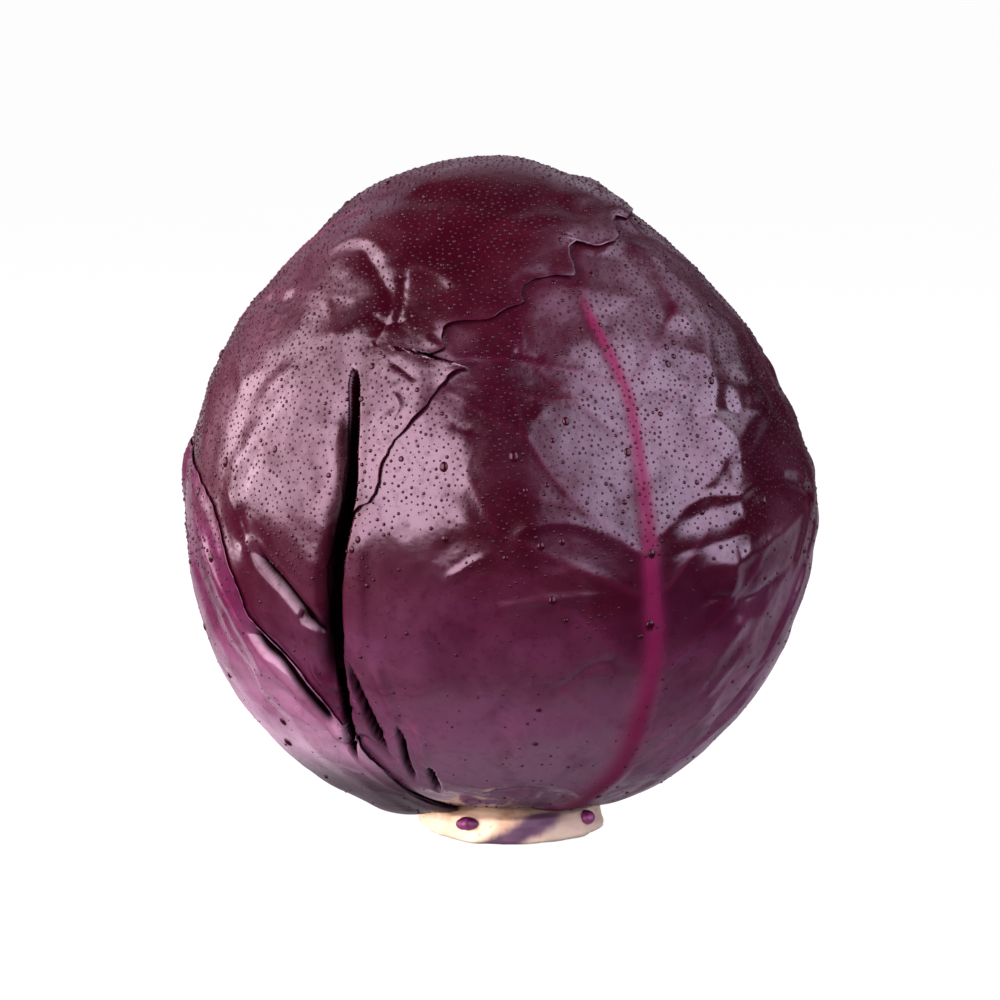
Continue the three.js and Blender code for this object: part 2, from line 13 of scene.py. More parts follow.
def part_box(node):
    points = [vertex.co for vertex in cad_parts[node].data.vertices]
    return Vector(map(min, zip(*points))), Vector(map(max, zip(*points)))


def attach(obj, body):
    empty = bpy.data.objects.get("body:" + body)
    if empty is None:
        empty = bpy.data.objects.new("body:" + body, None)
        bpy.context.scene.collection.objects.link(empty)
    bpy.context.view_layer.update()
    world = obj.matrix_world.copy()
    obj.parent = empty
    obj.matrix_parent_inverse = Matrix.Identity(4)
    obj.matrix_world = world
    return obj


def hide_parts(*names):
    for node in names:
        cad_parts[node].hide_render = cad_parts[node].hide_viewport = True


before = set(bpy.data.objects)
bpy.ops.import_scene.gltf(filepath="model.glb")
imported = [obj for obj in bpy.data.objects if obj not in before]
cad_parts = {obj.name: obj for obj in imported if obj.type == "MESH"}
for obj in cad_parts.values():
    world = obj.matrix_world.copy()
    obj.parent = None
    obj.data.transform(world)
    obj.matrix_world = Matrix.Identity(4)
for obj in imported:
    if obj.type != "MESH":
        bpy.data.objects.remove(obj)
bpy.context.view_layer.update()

bl_info = {
    "name": "Red cabbage head",
    "version": (1, 0, 0),
    "blender": (4, 5, 0),
    "location": "3D View > Sidebar > Cabbage",
    "description": "Builds the leaves, stem, buds and water drops of a head of red cabbage",
    "category": "Object",
}

MM = 0.001

# ---------------------------------------------------------------- the head's form

# A place on the head is an (azimuth, polar) pair in degrees, seen from the head's centre. Azimuth 0 is the
# front and 90 the right, polar 0 is the crown and 180 the stem.
HEAD_CENTRE = np.array([0, 0, 82.0])
NOMINAL_RADIUS = 76
PROFILE_STEP = 15  # degrees between the radii of a profile, from the crown to the stem
RIGHT_PROFILE = (82, 79, 74.2, 71.8, 71.4, 72.6, 75.4, 76.6, 77.8, 78.6, 78.6, 77.6, 76)
LEFT_PROFILE = (82, 81.4, 79, 76, 75.2, 76, 76.4, 77.2, 78.2, 78.6, 78.2, 77.6, 76)
WRAP_DEPTH = 3.2  # how far the heart lies inside the profiles
LAYER_GAP, HEART_GAP = 0.35, 0.3
HEART_LOWEST = 9  # height at which the heart is cut flat over the stem
DRAPE_START, DRAPE_LENGTH = 1.5, 9  # how a leaf comes down past the edge of the one under it
EDGE_BAND = 6  # width of the band that lifts towards a leaf's edge
NECK_POLAR = 150  # below this the stem holds the leaves flat

SWELLS = (  # place, height, spread
    ((-48, 66), 1.6, 20), ((-2, 78), 1.4, 22), ((52, 58), 1.2, 15), ((150, 70), -1.5, 24),
    ((-130, 60), 1.2, 22), ((120, 120), 1.2, 22), ((-60, 128), 1.2, 18), ((-88, 124), 1.8, 26),
    ((-90, 152), 4.6, 24), ((80, 156), 2.4, 20), ((90, 88), 1.2, 20), ((90, 60), 1.0, 16),
    ((-90, 60), 1.0, 20), ((95, 17), -1.3, 11), ((-95, 24), 1.0, 11), ((-74, 162), 1.6, 9),
    ((-92, 150), -1.4, 8),
)

# The leaves from the innermost to the outermost. The outline runs once round the leaf from its base, and the
# rib runs from the base to the tip. The ripple is the height, number and phase of the waves in the edge. The
# veins are how high and how strongly coloured they are. The faces lie closer on one side where finer says so.
LEAVES = {
    "leaf_back": {
        "centre": (-168, 88), "lift": 0.9, "ripple": (1.1, 17, 0.4),
        "cells": 120, "seed": 1, "veins": (1, 0.5),
        "outline": [
            (-140, 167), (-118, 164), (-112, 156), (-108, 144), (-102, 128), (-98, 110), (-96, 90),
            (-98, 70), (-106, 50), (-125, 34), (-155, 26), (175, 26), (148, 36), (130, 52), (120, 70),
            (116, 90), (118, 110), (122, 128), (130, 144), (140, 156), (150, 164), (170, 167),
        ],
        "rib": [(-171, 168), (-174, 140), (-172, 115), (-168, 88), (-166, 62), (-168, 40)],
    },
    "leaf_right": {
        "centre": (105, 92), "lift": 0.9, "ripple": (1.2, 15, 1.9),
        "cells": 120, "seed": 2, "veins": (1, 0.5),
        "outline": [
            (85, 167), (60, 164), (56, 156), (54, 146), (50, 132), (47, 115), (46, 98), (47, 80), (50, 62),
            (54, 44), (66, 27), (104, 18), (136, 26), (150, 44), (157, 64), (160, 84), (160, 104),
            (158, 124), (156, 142), (152, 156), (148, 164), (122, 167),
        ],
        "rib": [(104, 168), (107, 140), (108, 115), (106, 90), (104, 64), (102, 42)],
    },
    "leaf_front": {
        "centre": (16, 95), "lift": 0.6, "ripple": (0.8, 19, 0.9),
        "cells": 218, "seed": 3, "finer": -0.6, "veins": (1, 1),
        "outline": [
            (38, 167), (8, 168), (-26, 166), (-34, 158), (-42, 145), (-48, 130), (-52, 114), (-54, 98),
            (-52, 82), (-46, 68), (-36, 56), (-20, 46), (0, 38), (22, 28), (48, 23), (68, 29), (76, 42),
            (81, 60), (84, 80), (84, 100), (82, 118), (78, 134), (74, 146), (70, 157), (66, 165),
        ],
        "rib": [(40, 168), (33, 150), (33, 141), (31, 130), (30, 120), (29, 110), (27, 98), (26, 84),
                (26, 74), (26, 66), (24, 56), (22, 48), (21, 41)],
    },
    "leaf_crown": {
        "centre": (-84, 66), "lift": 0.5, "ripple": (0.3, 23, 2.6),
        "cells": 218, "seed": 4, "finer": 0.42, "veins": (1, 0.5),
        "outline": [
            (-92, 167), (-56, 166), (-47, 156), (-42, 145), (-39.6, 137), (-37.2, 130), (-34.8, 123),
            (-33.8, 115), (-33.4, 108), (-33, 101), (-31.8, 95), (-29, 90), (-26, 86), (-23, 84), (-22, 78),
            (-19, 73), (-15, 67), (-10, 61), (-7, 60), (-11, 58.7), (-16, 57.4), (-13, 56), (-14, 53),
            (-12, 51), (-3, 50), (0, 48), (5, 46), (4, 44), (6, 42), (13, 40), (21, 40), (21, 35), (25, 32),
            (31, 33), (43, 32), (48, 28), (53, 26), (59, 27), (68, 26), (88, 24), (120, 29), (146, 36),
            (165, 46), (-177, 60), (-165, 76), (-156, 92), (-150, 108), (-144, 124), (-138, 142),
            (-132, 156), (-126, 165),
        ],
        "rib": [(-94, 168), (-97, 140), (-100, 116), (-102, 92), (-100, 66), (-88, 42), (-60, 24)],
    },
    "leaf_left": {
        "centre": (-84, 116), "lift": 0.05, "ripple": (0.3, 15, 1.2),
        "cells": 190, "seed": 5, "finer": 0.42, "veins": (0.3, 0.4),
        "outline": [
            (-34, 166), (-36, 156), (-34, 146), (-35, 138), (-36, 131), (-38, 126), (-40, 121), (-42, 117),
            (-46, 114), (-51, 110), (-54, 105), (-57, 99), (-61, 93), (-66, 88), (-74, 85), (-84, 83),
            (-98, 81), (-114, 82), (-128, 88), (-136, 98), (-134, 114), (-126, 130), (-112, 145), (-98, 156),
            (-84, 163), (-60, 167),
        ],
        "rib": [(-38, 168), (-36, 152), (-38, 138), (-41, 128), (-46, 120), (-56, 109), (-66, 98),
                (-76, 88)],
    },
}

# Folds of the leaves: a groove, or with a negative depth a ridge, along a line of places. Every leaf follows
# those of "all". A sharp one has a creased bottom, a round one an even curve, and a slit has steep sides.
ROUND, SHARP, SLIT = "round", "sharp", "slit"
FOLDS = {  # of each leaf: line, depth, width, kind
    "all": (
        ([(-31.6, 60), (-30.4, 66), (-29.2, 74), (-28.7, 82), (-30.4, 90), (-31.6, 97), (-32.8, 104),
          (-33.8, 112), (-34.8, 119), (-36.8, 128)], 1.8, 2.8, ROUND),
        ([(-31.4, 60), (-29.4, 67), (-28.3, 74), (-27.8, 82)], 4.5, 0.9, SLIT),
        ([(-28.3, 72), (-27.9, 78), (-27.9, 84), (-29.1, 90), (-30.4, 96), (-31.5, 103), (-32.3, 111),
          (-33.3, 118)], 5.5, 1.35, SLIT),
        ([(-32, 108), (-33, 115), (-34, 121), (-36, 128), (-38, 134), (-39, 139)], 4.2, 0.85, SLIT),
        ([(-42, 62), (-40, 74), (-41, 86), (-43, 96)], -0.4, 4.0, ROUND),
        ([(-50, 90), (-45, 95), (-40, 99), (-35, 103)], 0.35, 2.0, ROUND),
        ([(-50, 94), (-47, 97), (-43, 100), (-40, 103), (-37, 106), (-34, 108)], 1.9, 1.5, ROUND),
        ([(-54, 107), (-50, 111), (-46, 114), (-43, 118), (-40, 124), (-38, 131)], 0.7, 1.8, ROUND),
        ([(-55, 108), (-51, 112), (-47, 115), (-44, 119), (-41, 124), (-39, 130)], 1.9, 1.4, ROUND),
        ([(-42, 131), (-38, 133), (-34, 132), (-31, 136), (-29, 140)], 1.5, 0.8, SHARP),
        ([(-31, 114), (-30.5, 119), (-30, 124), (-30, 130), (-30, 137)], 3.6, 1.15, SLIT),
        ([(-24, 127), (-24, 132), (-26, 139), (-28, 146)], 3.0, 0.75, SLIT),
        ([(-20, 139), (-21, 144), (-23, 150)], 3.0, 0.8, SLIT),
        ([(-31, 125), (-30, 128), (-28, 131)], 1.4, 0.7, SHARP),
    ),
    "leaf_crown": (
        ([(-62, 82), (-57, 87), (-53, 92), (-50, 96), (-46, 99.5), (-42, 103),
          (-39, 106)], -0.2, 1.3, ROUND),
        ([(-58, 103), (-55, 106), (-51, 109), (-47, 112)], -0.6, 1.4, ROUND),
        ([(-40, 106), (-37, 107), (-34, 109)], 1.2, 0.8, SHARP),
        ([(-39, 114), (-38, 118), (-35, 120), (-32, 120)], -0.7, 0.8, ROUND),
        ([(-36, 121), (-33, 121), (-31, 120)], 1.3, 0.7, SHARP),
        ([(-38, 124), (-35, 125), (-31, 124)], 1.3, 0.7, SHARP),
        ([(-39, 127), (-36, 129), (-33, 129)], 1.4, 0.8, SHARP),
        ([(-52, 34), (-40, 39), (-33, 43), (-28, 48), (-28, 54), (-30, 60)], 0.6, 1.3, SHARP),
        ([(-64, 39), (-54, 34.5), (-43, 35), (-32, 39)], -0.4, 2.0, ROUND),
        ([(-28, 38), (-22, 38.5), (-16, 41), (-11, 44)], -0.38, 1.6, ROUND),
        ([(-29, 38), (-27, 43), (-25, 48), (-25, 53)], 0.5, 1.1, SHARP),
        ([(-33, 50), (-27, 52), (-22, 51)], 0.4, 0.9, SHARP),
        ([(-24, 59), (-20, 61), (-17, 63)], 0.4, 0.8, SHARP),
        ([(-22, 65), (-20, 68), (-23, 71)], -0.3, 0.9, ROUND),
        ([(-80, 50), (-68, 50), (-60, 47)], 0.9, 2.8, ROUND),
        ([(-86, 64), (-72, 62), (-62, 66), (-55, 64)], -0.8, 3.0, ROUND),
        ([(-100, 40), (-80, 30), (-40, 22), (0, 22)], 0.7, 5.0, ROUND),
        ([(-20, 28), (10, 28), (34, 26)], -0.7, 4.0, ROUND),
        ([(24, 33), (32, 35), (42, 33)], -0.8, 1.5, ROUND),
        ([(-104, 60), (-122, 56), (-140, 62)], 0.9, 2.0, SHARP),
        ([(-106, 84), (-124, 78), (-146, 84)], -0.8, 2.6, ROUND),
        ([(90, 14), (140, 18), (-170, 22)], 0.7, 3.4, ROUND),
    ),
    "leaf_front": (
        ([(-25, 88), (-26, 98), (-27, 108), (-28, 116)], -0.5, 1.8, ROUND),
        ([(-25, 113), (-24, 120), (-23, 128)], -0.7, 1.6, ROUND),
        ([(-19, 126), (-19, 133), (-21, 140)], -0.6, 1.4, ROUND),
        ([(30, 69), (38, 70), (48, 70), (60, 71), (76, 73)], 0.45, 1.0, SHARP),
        ([(34, 64), (48, 65), (64, 66)], -0.7, 3.0, ROUND),
        ([(31, 86), (38, 82), (47, 77), (58, 72), (70, 69)], -1.3, 4.6, ROUND),
        ([(33, 87), (39, 85), (46, 85), (54, 84)], -0.55, 1.0, ROUND),
        ([(31, 90), (38, 88), (47, 87), (56, 86)], 0.55, 2.2, ROUND),
        ([(29, 95), (35, 94), (43, 93), (50, 91)], 0.45, 1.4, SHARP),
        ([(34, 99), (42, 97), (49, 96), (57, 94), (64, 92), (72, 91)], -0.4, 1.8, ROUND),
        ([(35, 106), (42, 103), (50, 104), (57, 102), (64, 100)], 0.7, 1.4, SHARP),
        ([(44, 109), (54, 108), (64, 106)], -0.6, 3.0, ROUND),
        ([(62, 84), (70, 86), (78, 90)], 1.2, 1.6, ROUND),
        ([(66, 104), (68, 97), (72, 90), (73, 82)], -0.9, 1.7, ROUND),
        ([(72, 106), (75, 98), (79, 92)], 1.4, 1.4, ROUND),
        ([(62, 122), (65, 113), (70, 104), (76, 98)], -1.1, 1.3, ROUND),
        ([(54, 134), (60, 126), (66, 116), (71, 108)], 0.9, 1.3, ROUND),
        ([(46, 146), (54, 139), (62, 130), (68, 121)], -0.9, 1.2, ROUND),
        ([(40, 126), (48, 122), (58, 116)], 0.5, 3.0, ROUND),
        ([(-11, 98), (-8, 96.5), (-5, 94.5), (-1, 93)], -0.5, 0.9, ROUND),
        ([(-14, 94), (-6, 91), (4, 90)], 0.2, 2.4, ROUND),
        ([(-3, 103), (5, 101.5), (12, 101), (20, 101)], -0.45, 0.9, ROUND),
        ([(1, 90), (6, 88), (12, 88), (17, 90), (21, 93)], -0.45, 1.3, ROUND),
        ([(8, 119), (12, 118), (16, 114.5), (20, 113.5), (24, 116)], 0.8, 0.7, SHARP),
        ([(-12, 70), (-4, 72), (6, 72)], 0.5, 1.4, SHARP),
        ([(2, 56), (6, 57), (9, 58)], 0.5, 0.9, SHARP),
        ([(-2, 130), (10, 128), (24, 130)], -0.5, 4.0, ROUND),
        ([(-8, 150), (8, 148), (24, 152)], 0.8, 1.8, ROUND),
        ([(-20, 158), (-8, 155), (4, 156)], -0.7, 0.8, ROUND),
        ([(0, 150), (8, 153), (16, 158)], -0.7, 0.7, ROUND),
        ([(6, 149), (14, 152), (22, 157)], -0.6, 0.6, ROUND),
        ([(12, 148), (20, 151), (28, 156)], -0.7, 0.7, ROUND),
        ([(18, 146), (26, 149), (33, 154)], -0.5, 0.6, ROUND),
    ),
    "leaf_left": (
        ([(-52, 118), (-46, 123), (-42, 130), (-40, 138)], 0.7, 1.6, ROUND),
        ([(-70, 92), (-62, 104), (-54, 114), (-48, 122)], -0.6, 2.2, ROUND),
        ([(-80, 96), (-70, 108), (-60, 120), (-50, 132)], 0.7, 3.0, ROUND),
    ),
    "leaf_right": (
        ([(70, 60), (84, 64), (98, 62)], 0.8, 1.6, SHARP),
        ([(112, 84), (126, 80), (142, 82)], 0.8, 1.8, SHARP),
        ([(110, 112), (128, 108), (146, 112)], -0.8, 2.4, ROUND),
    ),
    "leaf_back": (
        ([(-160, 60), (-144, 64), (-130, 60)], 0.8, 1.8, SHARP),
        ([(178, 90), (162, 94), (146, 88)], -0.8, 2.6, ROUND),
        ([(-166, 118), (-148, 112), (-128, 118)], 0.9, 1.8, SHARP),
    ),
}

GLOWS = (  # direction, share of it where the glow starts and where it is full, light
    ((0, 1, -0.35), 0.82, 0.97, (0.52, 0.44, 0.53)),
    ((0, 0, -1), 0.62, 0.97, (0.58, 0.5, 0.62)),
    ((0, 0.9, 0.43), 0.84, 0.98, (0.54, 0.45, 0.56)),
    ((0.66, 0.62, -0.42), 0.9, 0.98, (0.62, 0.52, 0.66)),
    ((-0.2, 0.9, -0.4), 0.86, 0.97, (0.9, 0.74, 0.86)),
    ((-0.8, -0.35, -0.5), 0.72, 0.97, (1.2, 0.5, 0.8)),
    ((-0.8, 0.6, 0), 0.8, 0.97, (0.36, 0.07, 0.17)),
)
SOFTBOXES = (  # name, azimuth, elevation, size, side, share of its power, colour, fading, lean
    ("left softbox", -70, 25, (1.8, 0.92), "left", 0.97, (1.0, 0.73, 0.84), (0.05, 0.05), 0),
    ("left softbox middle", -35, 25, (0.46, 0.9), "left", 0.15, (1.0, 0.72, 0.88), (0.1, 0.1), 0),
    ("left fill", -128, 34, (0.62, 0.5), "left", 0.013, (1.0, 0.62, 0.9), (0.25, 0.25), 0),
    ("right softbox", 68, 37, (0.56, 0.84), "right", 0.53, (0.9, 0.76, 1.0), (0.34, 0.12), -1),
    ("right fill", 112, 42, (0.4, 0.4), "right", 0.06, (0.9, 0.78, 1.0), (0.3, 0.3), 0),
)
LIGHT_DISTANCE, PANELS = 0.75, 3  # from the head to a softbox in metres, and the panels in one
PANEL_GAP, LIGHT_CLEARANCE = 0.01, 0.005  # between panels, and between a panel and the floor, in metres
DIM_ROOM = (0.01, 0.01, 0.01)
CAMERA_RISE, CAMERA_DISTANCE = 8, 1.05  # degrees above the head's middle, and metres from it
CAMERA_AIM = (-0.0007, 0, -0.0024)  # from the head's centre
SENSOR_WIDTH, FLOOR_SIZE = 36, 9
SCAR_AZIMUTH, SCAR_CLIMB, SCAR_WIDTH = 11, 4.5, 18  # the leaf scar that climbs the bark in a slanting band
DROP_CELL, DROP_ROOM = 2.8, 1.15  # grid in which neighbours are looked up, and least distance in radii
SMALL_SPREAD, LARGE_RADII = 0.3, (0.65, 1.15)
WET_ENDS, LARGE_ENDS = (78, 104), (120, 150)  # polar places between which the drops grow few
DRY_SHARE = 0.012  # of the small drops, below the wet part
FLATNESS = (0.42, 0.62)  # height of a drop, as a share of its radius
DEEPEST, STEEPEST, EDGE_ROOM = 1.2, 0.8, 0.25  # places in a fold, on a slope or at an edge that stay dry
PROBE = 0.5  # how far off the slope under a drop is read
SAGGING, FINER_DROPS, SAG = 0.0007, 0.0006, 1.25  # radii in metres from which drops sag or have more faces
DROP_BATCH = 2500  # drops in one piece
HANDFUL = 50  # drops made at a time, because the operator is slow on a large mesh
RIB_BASE, RIB_TIP = (6.2, 1.3), (1.6, 0.35)  # half width and height
VEIN_PAIRS = 7


def directions(places):
    """Unit directions of (azimuth, polar) places."""
    azimuth, polar = np.radians(np.asarray(places, float)).T
    return np.stack(
        [np.sin(polar) * np.sin(azimuth), -np.sin(polar) * np.cos(azimuth), np.cos(polar)], axis=-1
    )


def unit(vectors):
    return vectors / np.linalg.norm(vectors, axis=-1, keepdims=True)


def ease(values, low, high):
    """0 below low, 1 above high and smooth between them."""
    t = np.clip((values - low) / (high - low), 0, 1)
    return t * t * (3 - 2 * t)


def cubic(a, b, c, d, t):
    return b + 0.5 * t * (c - a + t * (2 * a - 5 * b + 4 * c - d + t * (3 * (b - c) + d - a)))


def smooth_line(knots, per_span=5, closed=False):
    """A line of directions through knots, which are directions too."""
    if closed:
        knots = np.vstack([knots[-1:], knots, knots[:2]])
    else:
        knots = np.vstack([2 * knots[0] - knots[1], knots, 2 * knots[-1] - knots[-2]])
    t = np.arange(per_span)[:, None] / per_span
    spans = [cubic(*four, t) for four in zip(knots, knots[1:], knots[2:], knots[3:])]
    if not closed:
        spans.append(knots[-2:-1])
    return unit(np.vstack(spans))


def along_line(points, line):
    """Millimetres from each point to a line, and the share of the line's length at its nearest place."""
    steps = np.linalg.norm(np.diff(line, axis=0), axis=1)
    shares = np.concatenate([[0], np.cumsum(steps)]) / steps.sum()
    nearest = np.full(len(points), 1e9)
    share = np.zeros(len(points))
    for i, (start, end) in enumerate(zip(line, line[1:])):
        stretch = end - start
        t = np.clip((points - start) @ stretch / (stretch @ stretch), 0, 1)
        gap = points - start - t[:, None] * stretch
        square = np.einsum("ij,ij->i", gap, gap)
        closer = square < nearest
        nearest[closer] = square[closer]
        share[closer] = (shares[i] + t * (shares[i + 1] - shares[i]))[closer]
    return NOMINAL_RADIUS * np.sqrt(nearest), share


def near_line(points, line, reach):
    """The indices of the points that lie within some millimetres of a line's own cap."""
    middle = unit(line.mean(axis=0))
    cap = np.arccos(np.clip(line @ middle, -1, 1)).max() + reach / NOMINAL_RADIUS
    return np.flatnonzero(points @ middle > math.cos(min(cap, math.pi)))


def lumps(points, size, seed):
    """A smooth random field, mostly within -1 and 1, with lumps about this many millimetres across."""
    draw = np.random.default_rng(seed)
    waves = unit(draw.normal(size=(14, 3))) * draw.uniform(0.7, 1.4, (14, 1)) * math.tau / (2 * size)
    return np.sin(points * NOMINAL_RADIUS @ waves.T + draw.uniform(0, math.tau, 14)).sum(axis=1) / 4


def profile_radius(profile, polar):
    place = np.clip(polar / PROFILE_STEP, 0, len(profile) - 1)
    below = np.minimum(place.astype(int), len(profile) - 2)
    at = [np.asarray(profile, float)[np.clip(below + k, 0, len(profile) - 1)] for k in (-1, 0, 1, 2)]
    return cubic(*at, place - below)


def fold_height(points, leaf):
    """Height of a leaf's own folds, or of those that all leaves follow, at each point."""
    height = np.zeros(len(points))
    for places, depth, width, kind in FOLDS[leaf]:
        line = smooth_line(directions(places))
        near = near_line(points, line, 5 * width)
        distance, share = along_line(points[near], line)
        taper = ease(share, 0, 0.22) * ease(1 - share, 0, 0.22)
        apart = distance / width
        if kind == SLIT:
            apart = apart / (0.35 + 0.65 * taper)
        across = np.exp(-(apart ** {ROUND: 2, SHARP: 1, SLIT: 4}[kind]))
        height[near] -= depth * across * taper
    return height


def sunk_below_slits(points):
    """How far the heart, whose faces are large, draws back from the slits so that it doesn't show in them."""
    sunk = np.zeros(len(points))
    for places, depth, _, kind in FOLDS["all"]:
        if kind == SLIT:
            distance, _ = along_line(points, smooth_line(directions(places)))
            sunk = np.maximum(sunk, depth * (1 - ease(distance, 3.5, 7)))
    return sunk


def heart_radius(points):
    """Radius of the heart without its folds."""
    polar = np.degrees(np.arccos(np.clip(points[:, 2], -1, 1)))
    rightness = 0.5 + 0.5 * points[:, 0] / np.maximum(np.hypot(points[:, 0], points[:, 1]), 1e-6)
    radius = profile_radius(RIGHT_PROFILE, polar) * rightness
    radius += profile_radius(LEFT_PROFILE, polar) * (1 - rightness) - WRAP_DEPTH
    for place, height, spread in SWELLS:
        apart = NOMINAL_RADIUS * np.linalg.norm(points - directions([place]), axis=1)
        radius += height * np.exp(-((apart / spread) ** 2))
    return radius


class Leaf:
    """One wrapper leaf, a fan round its centre: an angle tells which way, a reach how far its edge lies."""

    def __init__(self, name, facts):
        self.name = name
        self.cells = facts["cells"]
        self.seed = facts["seed"]
        self.lift = facts["lift"]
        self.finer = facts.get("finer", 1)
        self.rib_size, self.vein_colour = facts["veins"]
        self.axis = directions([facts["centre"]])[0]
        self.east = unit(np.cross([0, 0, 1], self.axis))
        self.north = np.cross(self.axis, self.east)
        self.rib = smooth_line(directions(facts["rib"]))
        outline = smooth_line(directions(facts["outline"]), 6, closed=True)
        angles, reaches = self.fan(outline)
        angles = np.unwrap(angles)
        if angles[-1] < angles[0]:
            angles, reaches = angles[::-1], reaches[::-1]
        self.angles = np.maximum.accumulate(angles) + 1e-6 * np.arange(len(angles))
        held = ease(np.degrees(np.arccos(self.spread(self.angles, reaches)[:, 2])), 140, NECK_POLAR)
        height, count, phase = facts["ripple"]
        wave = np.sin(count * self.angles + phase) + 0.6 * np.sin(2.7 * count * self.angles + 2 * phase)
        wave += 0.5 * np.sin(6.1 * count * self.angles + phase)
        self.reaches = reaches + (1 - held) * height * wave / NOMINAL_RADIUS
        around = np.radians(np.arange(-18, 19, 2))
        self.even_reaches = self.edge_reach(self.angles[:, None] + around).mean(axis=1)
        rim = self.spread(self.angles, self.reaches)
        self.rim = np.vstack([rim, rim[:1]])
        self.veins = self.side_veins()

    def fan(self, points):
        reach = np.arccos(np.clip(points @ self.axis, -1, 1))
        return np.arctan2(points @ self.north, points @ self.east), reach

    def spread(self, angle, reach):
        angle, reach = angle[:, None], reach[:, None]
        flat = np.cos(angle) * self.east + np.sin(angle) * self.north
        return flat * np.sin(reach) + self.axis * np.cos(reach)

    def edge_reach(self, angle):
        return np.interp(angle, self.angles, self.reaches, period=math.tau)

    def on_disc(self, disc):
        """Lays a disc over the leaf. Only its outer part follows the true outline, the inside an even one."""
        share = np.minimum(np.hypot(*disc.T), 1)
        angle = np.arctan2(disc[:, 1], disc[:, 0])
        even = np.interp(angle, self.angles, self.even_reaches, period=math.tau)
        return self.spread(angle, share * even + share**8 * (self.edge_reach(angle) - even))

    def past_edge(self, points):
        """Millimetres past the leaf's edge, negative on the leaf."""
        distance, _ = along_line(points, self.rim)
        angle, reach = self.fan(points)
        return np.where(reach < self.edge_reach(angle), -distance, distance)

    def side_veins(self):
        """Lines that leave the rib in pairs and branch on their way to the edge, each with its strength."""
        draw = random.Random(self.seed)
        lines = []

        def grow(start, heading, length, strength, steps=9):
            line, here = [start], start
            turn = draw.uniform(-0.035, 0.035)
            for _ in range(steps):
                heading = unit(heading + turn * np.cross(here, heading) + 0.02 * self.up_the_leaf(here))
                here = unit(here + heading * length / steps)
                angle, reach = self.fan(here[None])
                if reach[0] > 0.97 * self.edge_reach(angle)[0]:
                    break
                line.append(here)
                turn += draw.uniform(-0.05, 0.05)
            if len(line) > 2:
                lines.append((np.array(line), strength))
            return line

        count = len(self.rib) - 1
        for pair in range(VEIN_PAIRS):
            for side in (-1, 1):
                share = 0.14 + 0.72 * (pair + draw.uniform(-0.2, 0.3)) / VEIN_PAIRS
                place = min(int(share * count), count - 1)
                along = unit(self.rib[place + 1] - self.rib[place])
                across = side * np.cross(along, self.rib[place])
                lean = draw.uniform(0.55, 0.85)
                main = grow(self.rib[place], unit(across + lean * along), draw.uniform(0.75, 1.0), 1)
                for fork in (0.35, 0.6):
                    at = min(int(fork * len(main)), len(main) - 2)
                    if at < 1:
                        continue
                    onward = unit(main[at + 1] - main[at])
                    aside = np.cross(onward, main[at]) * draw.choice((-1, 1))
                    grow(main[at], unit(onward + 0.8 * aside), draw.uniform(0.25, 0.45), 0.55, 6)
        return lines

    def up_the_leaf(self, here):
        return self.north - here * (self.north @ here)

    def rib_and_veins(self, points):
        """Height of the rib and veins, and how much of a point is vein."""
        distance, share = along_line(points, self.rib)
        way = np.sqrt(np.clip(share, 0, 1))
        width = self.rib_size * (RIB_BASE[0] + (RIB_TIP[0] - RIB_BASE[0]) * way)
        tall = self.rib_size * (RIB_BASE[1] + (RIB_TIP[1] - RIB_BASE[1]) * way)
        ends = ease(1 - share, 0, 0.08)
        inside = np.clip(1 - (distance / (1.5 * width)) ** 2, 0, 1)
        height = tall * inside**2 * ends
        mask = np.exp(-((distance / ((1.05 - 0.3 * way) * width)) ** 2)) * ends
        for line, strength in self.veins:
            near = near_line(points, line, 6)
            distance, share = along_line(points[near], line)
            thin = 1 - 0.6 * share
            across = np.exp(-((distance / (0.75 * thin)) ** 2)) * strength * ease(1 - share, 0, 0.25)
            broad = np.exp(-((distance / 2.6) ** 2)) * strength * (1 - share)
            height[near] = np.maximum(height[near], self.rib_size * (0.22 * thin * across + 0.2 * broad))
            mask[near] = np.maximum(mask[near], 0.22 * across * thin)
        return height, mask


ALL_LEAVES = [Leaf(name, facts) for name, facts in LEAVES.items()]


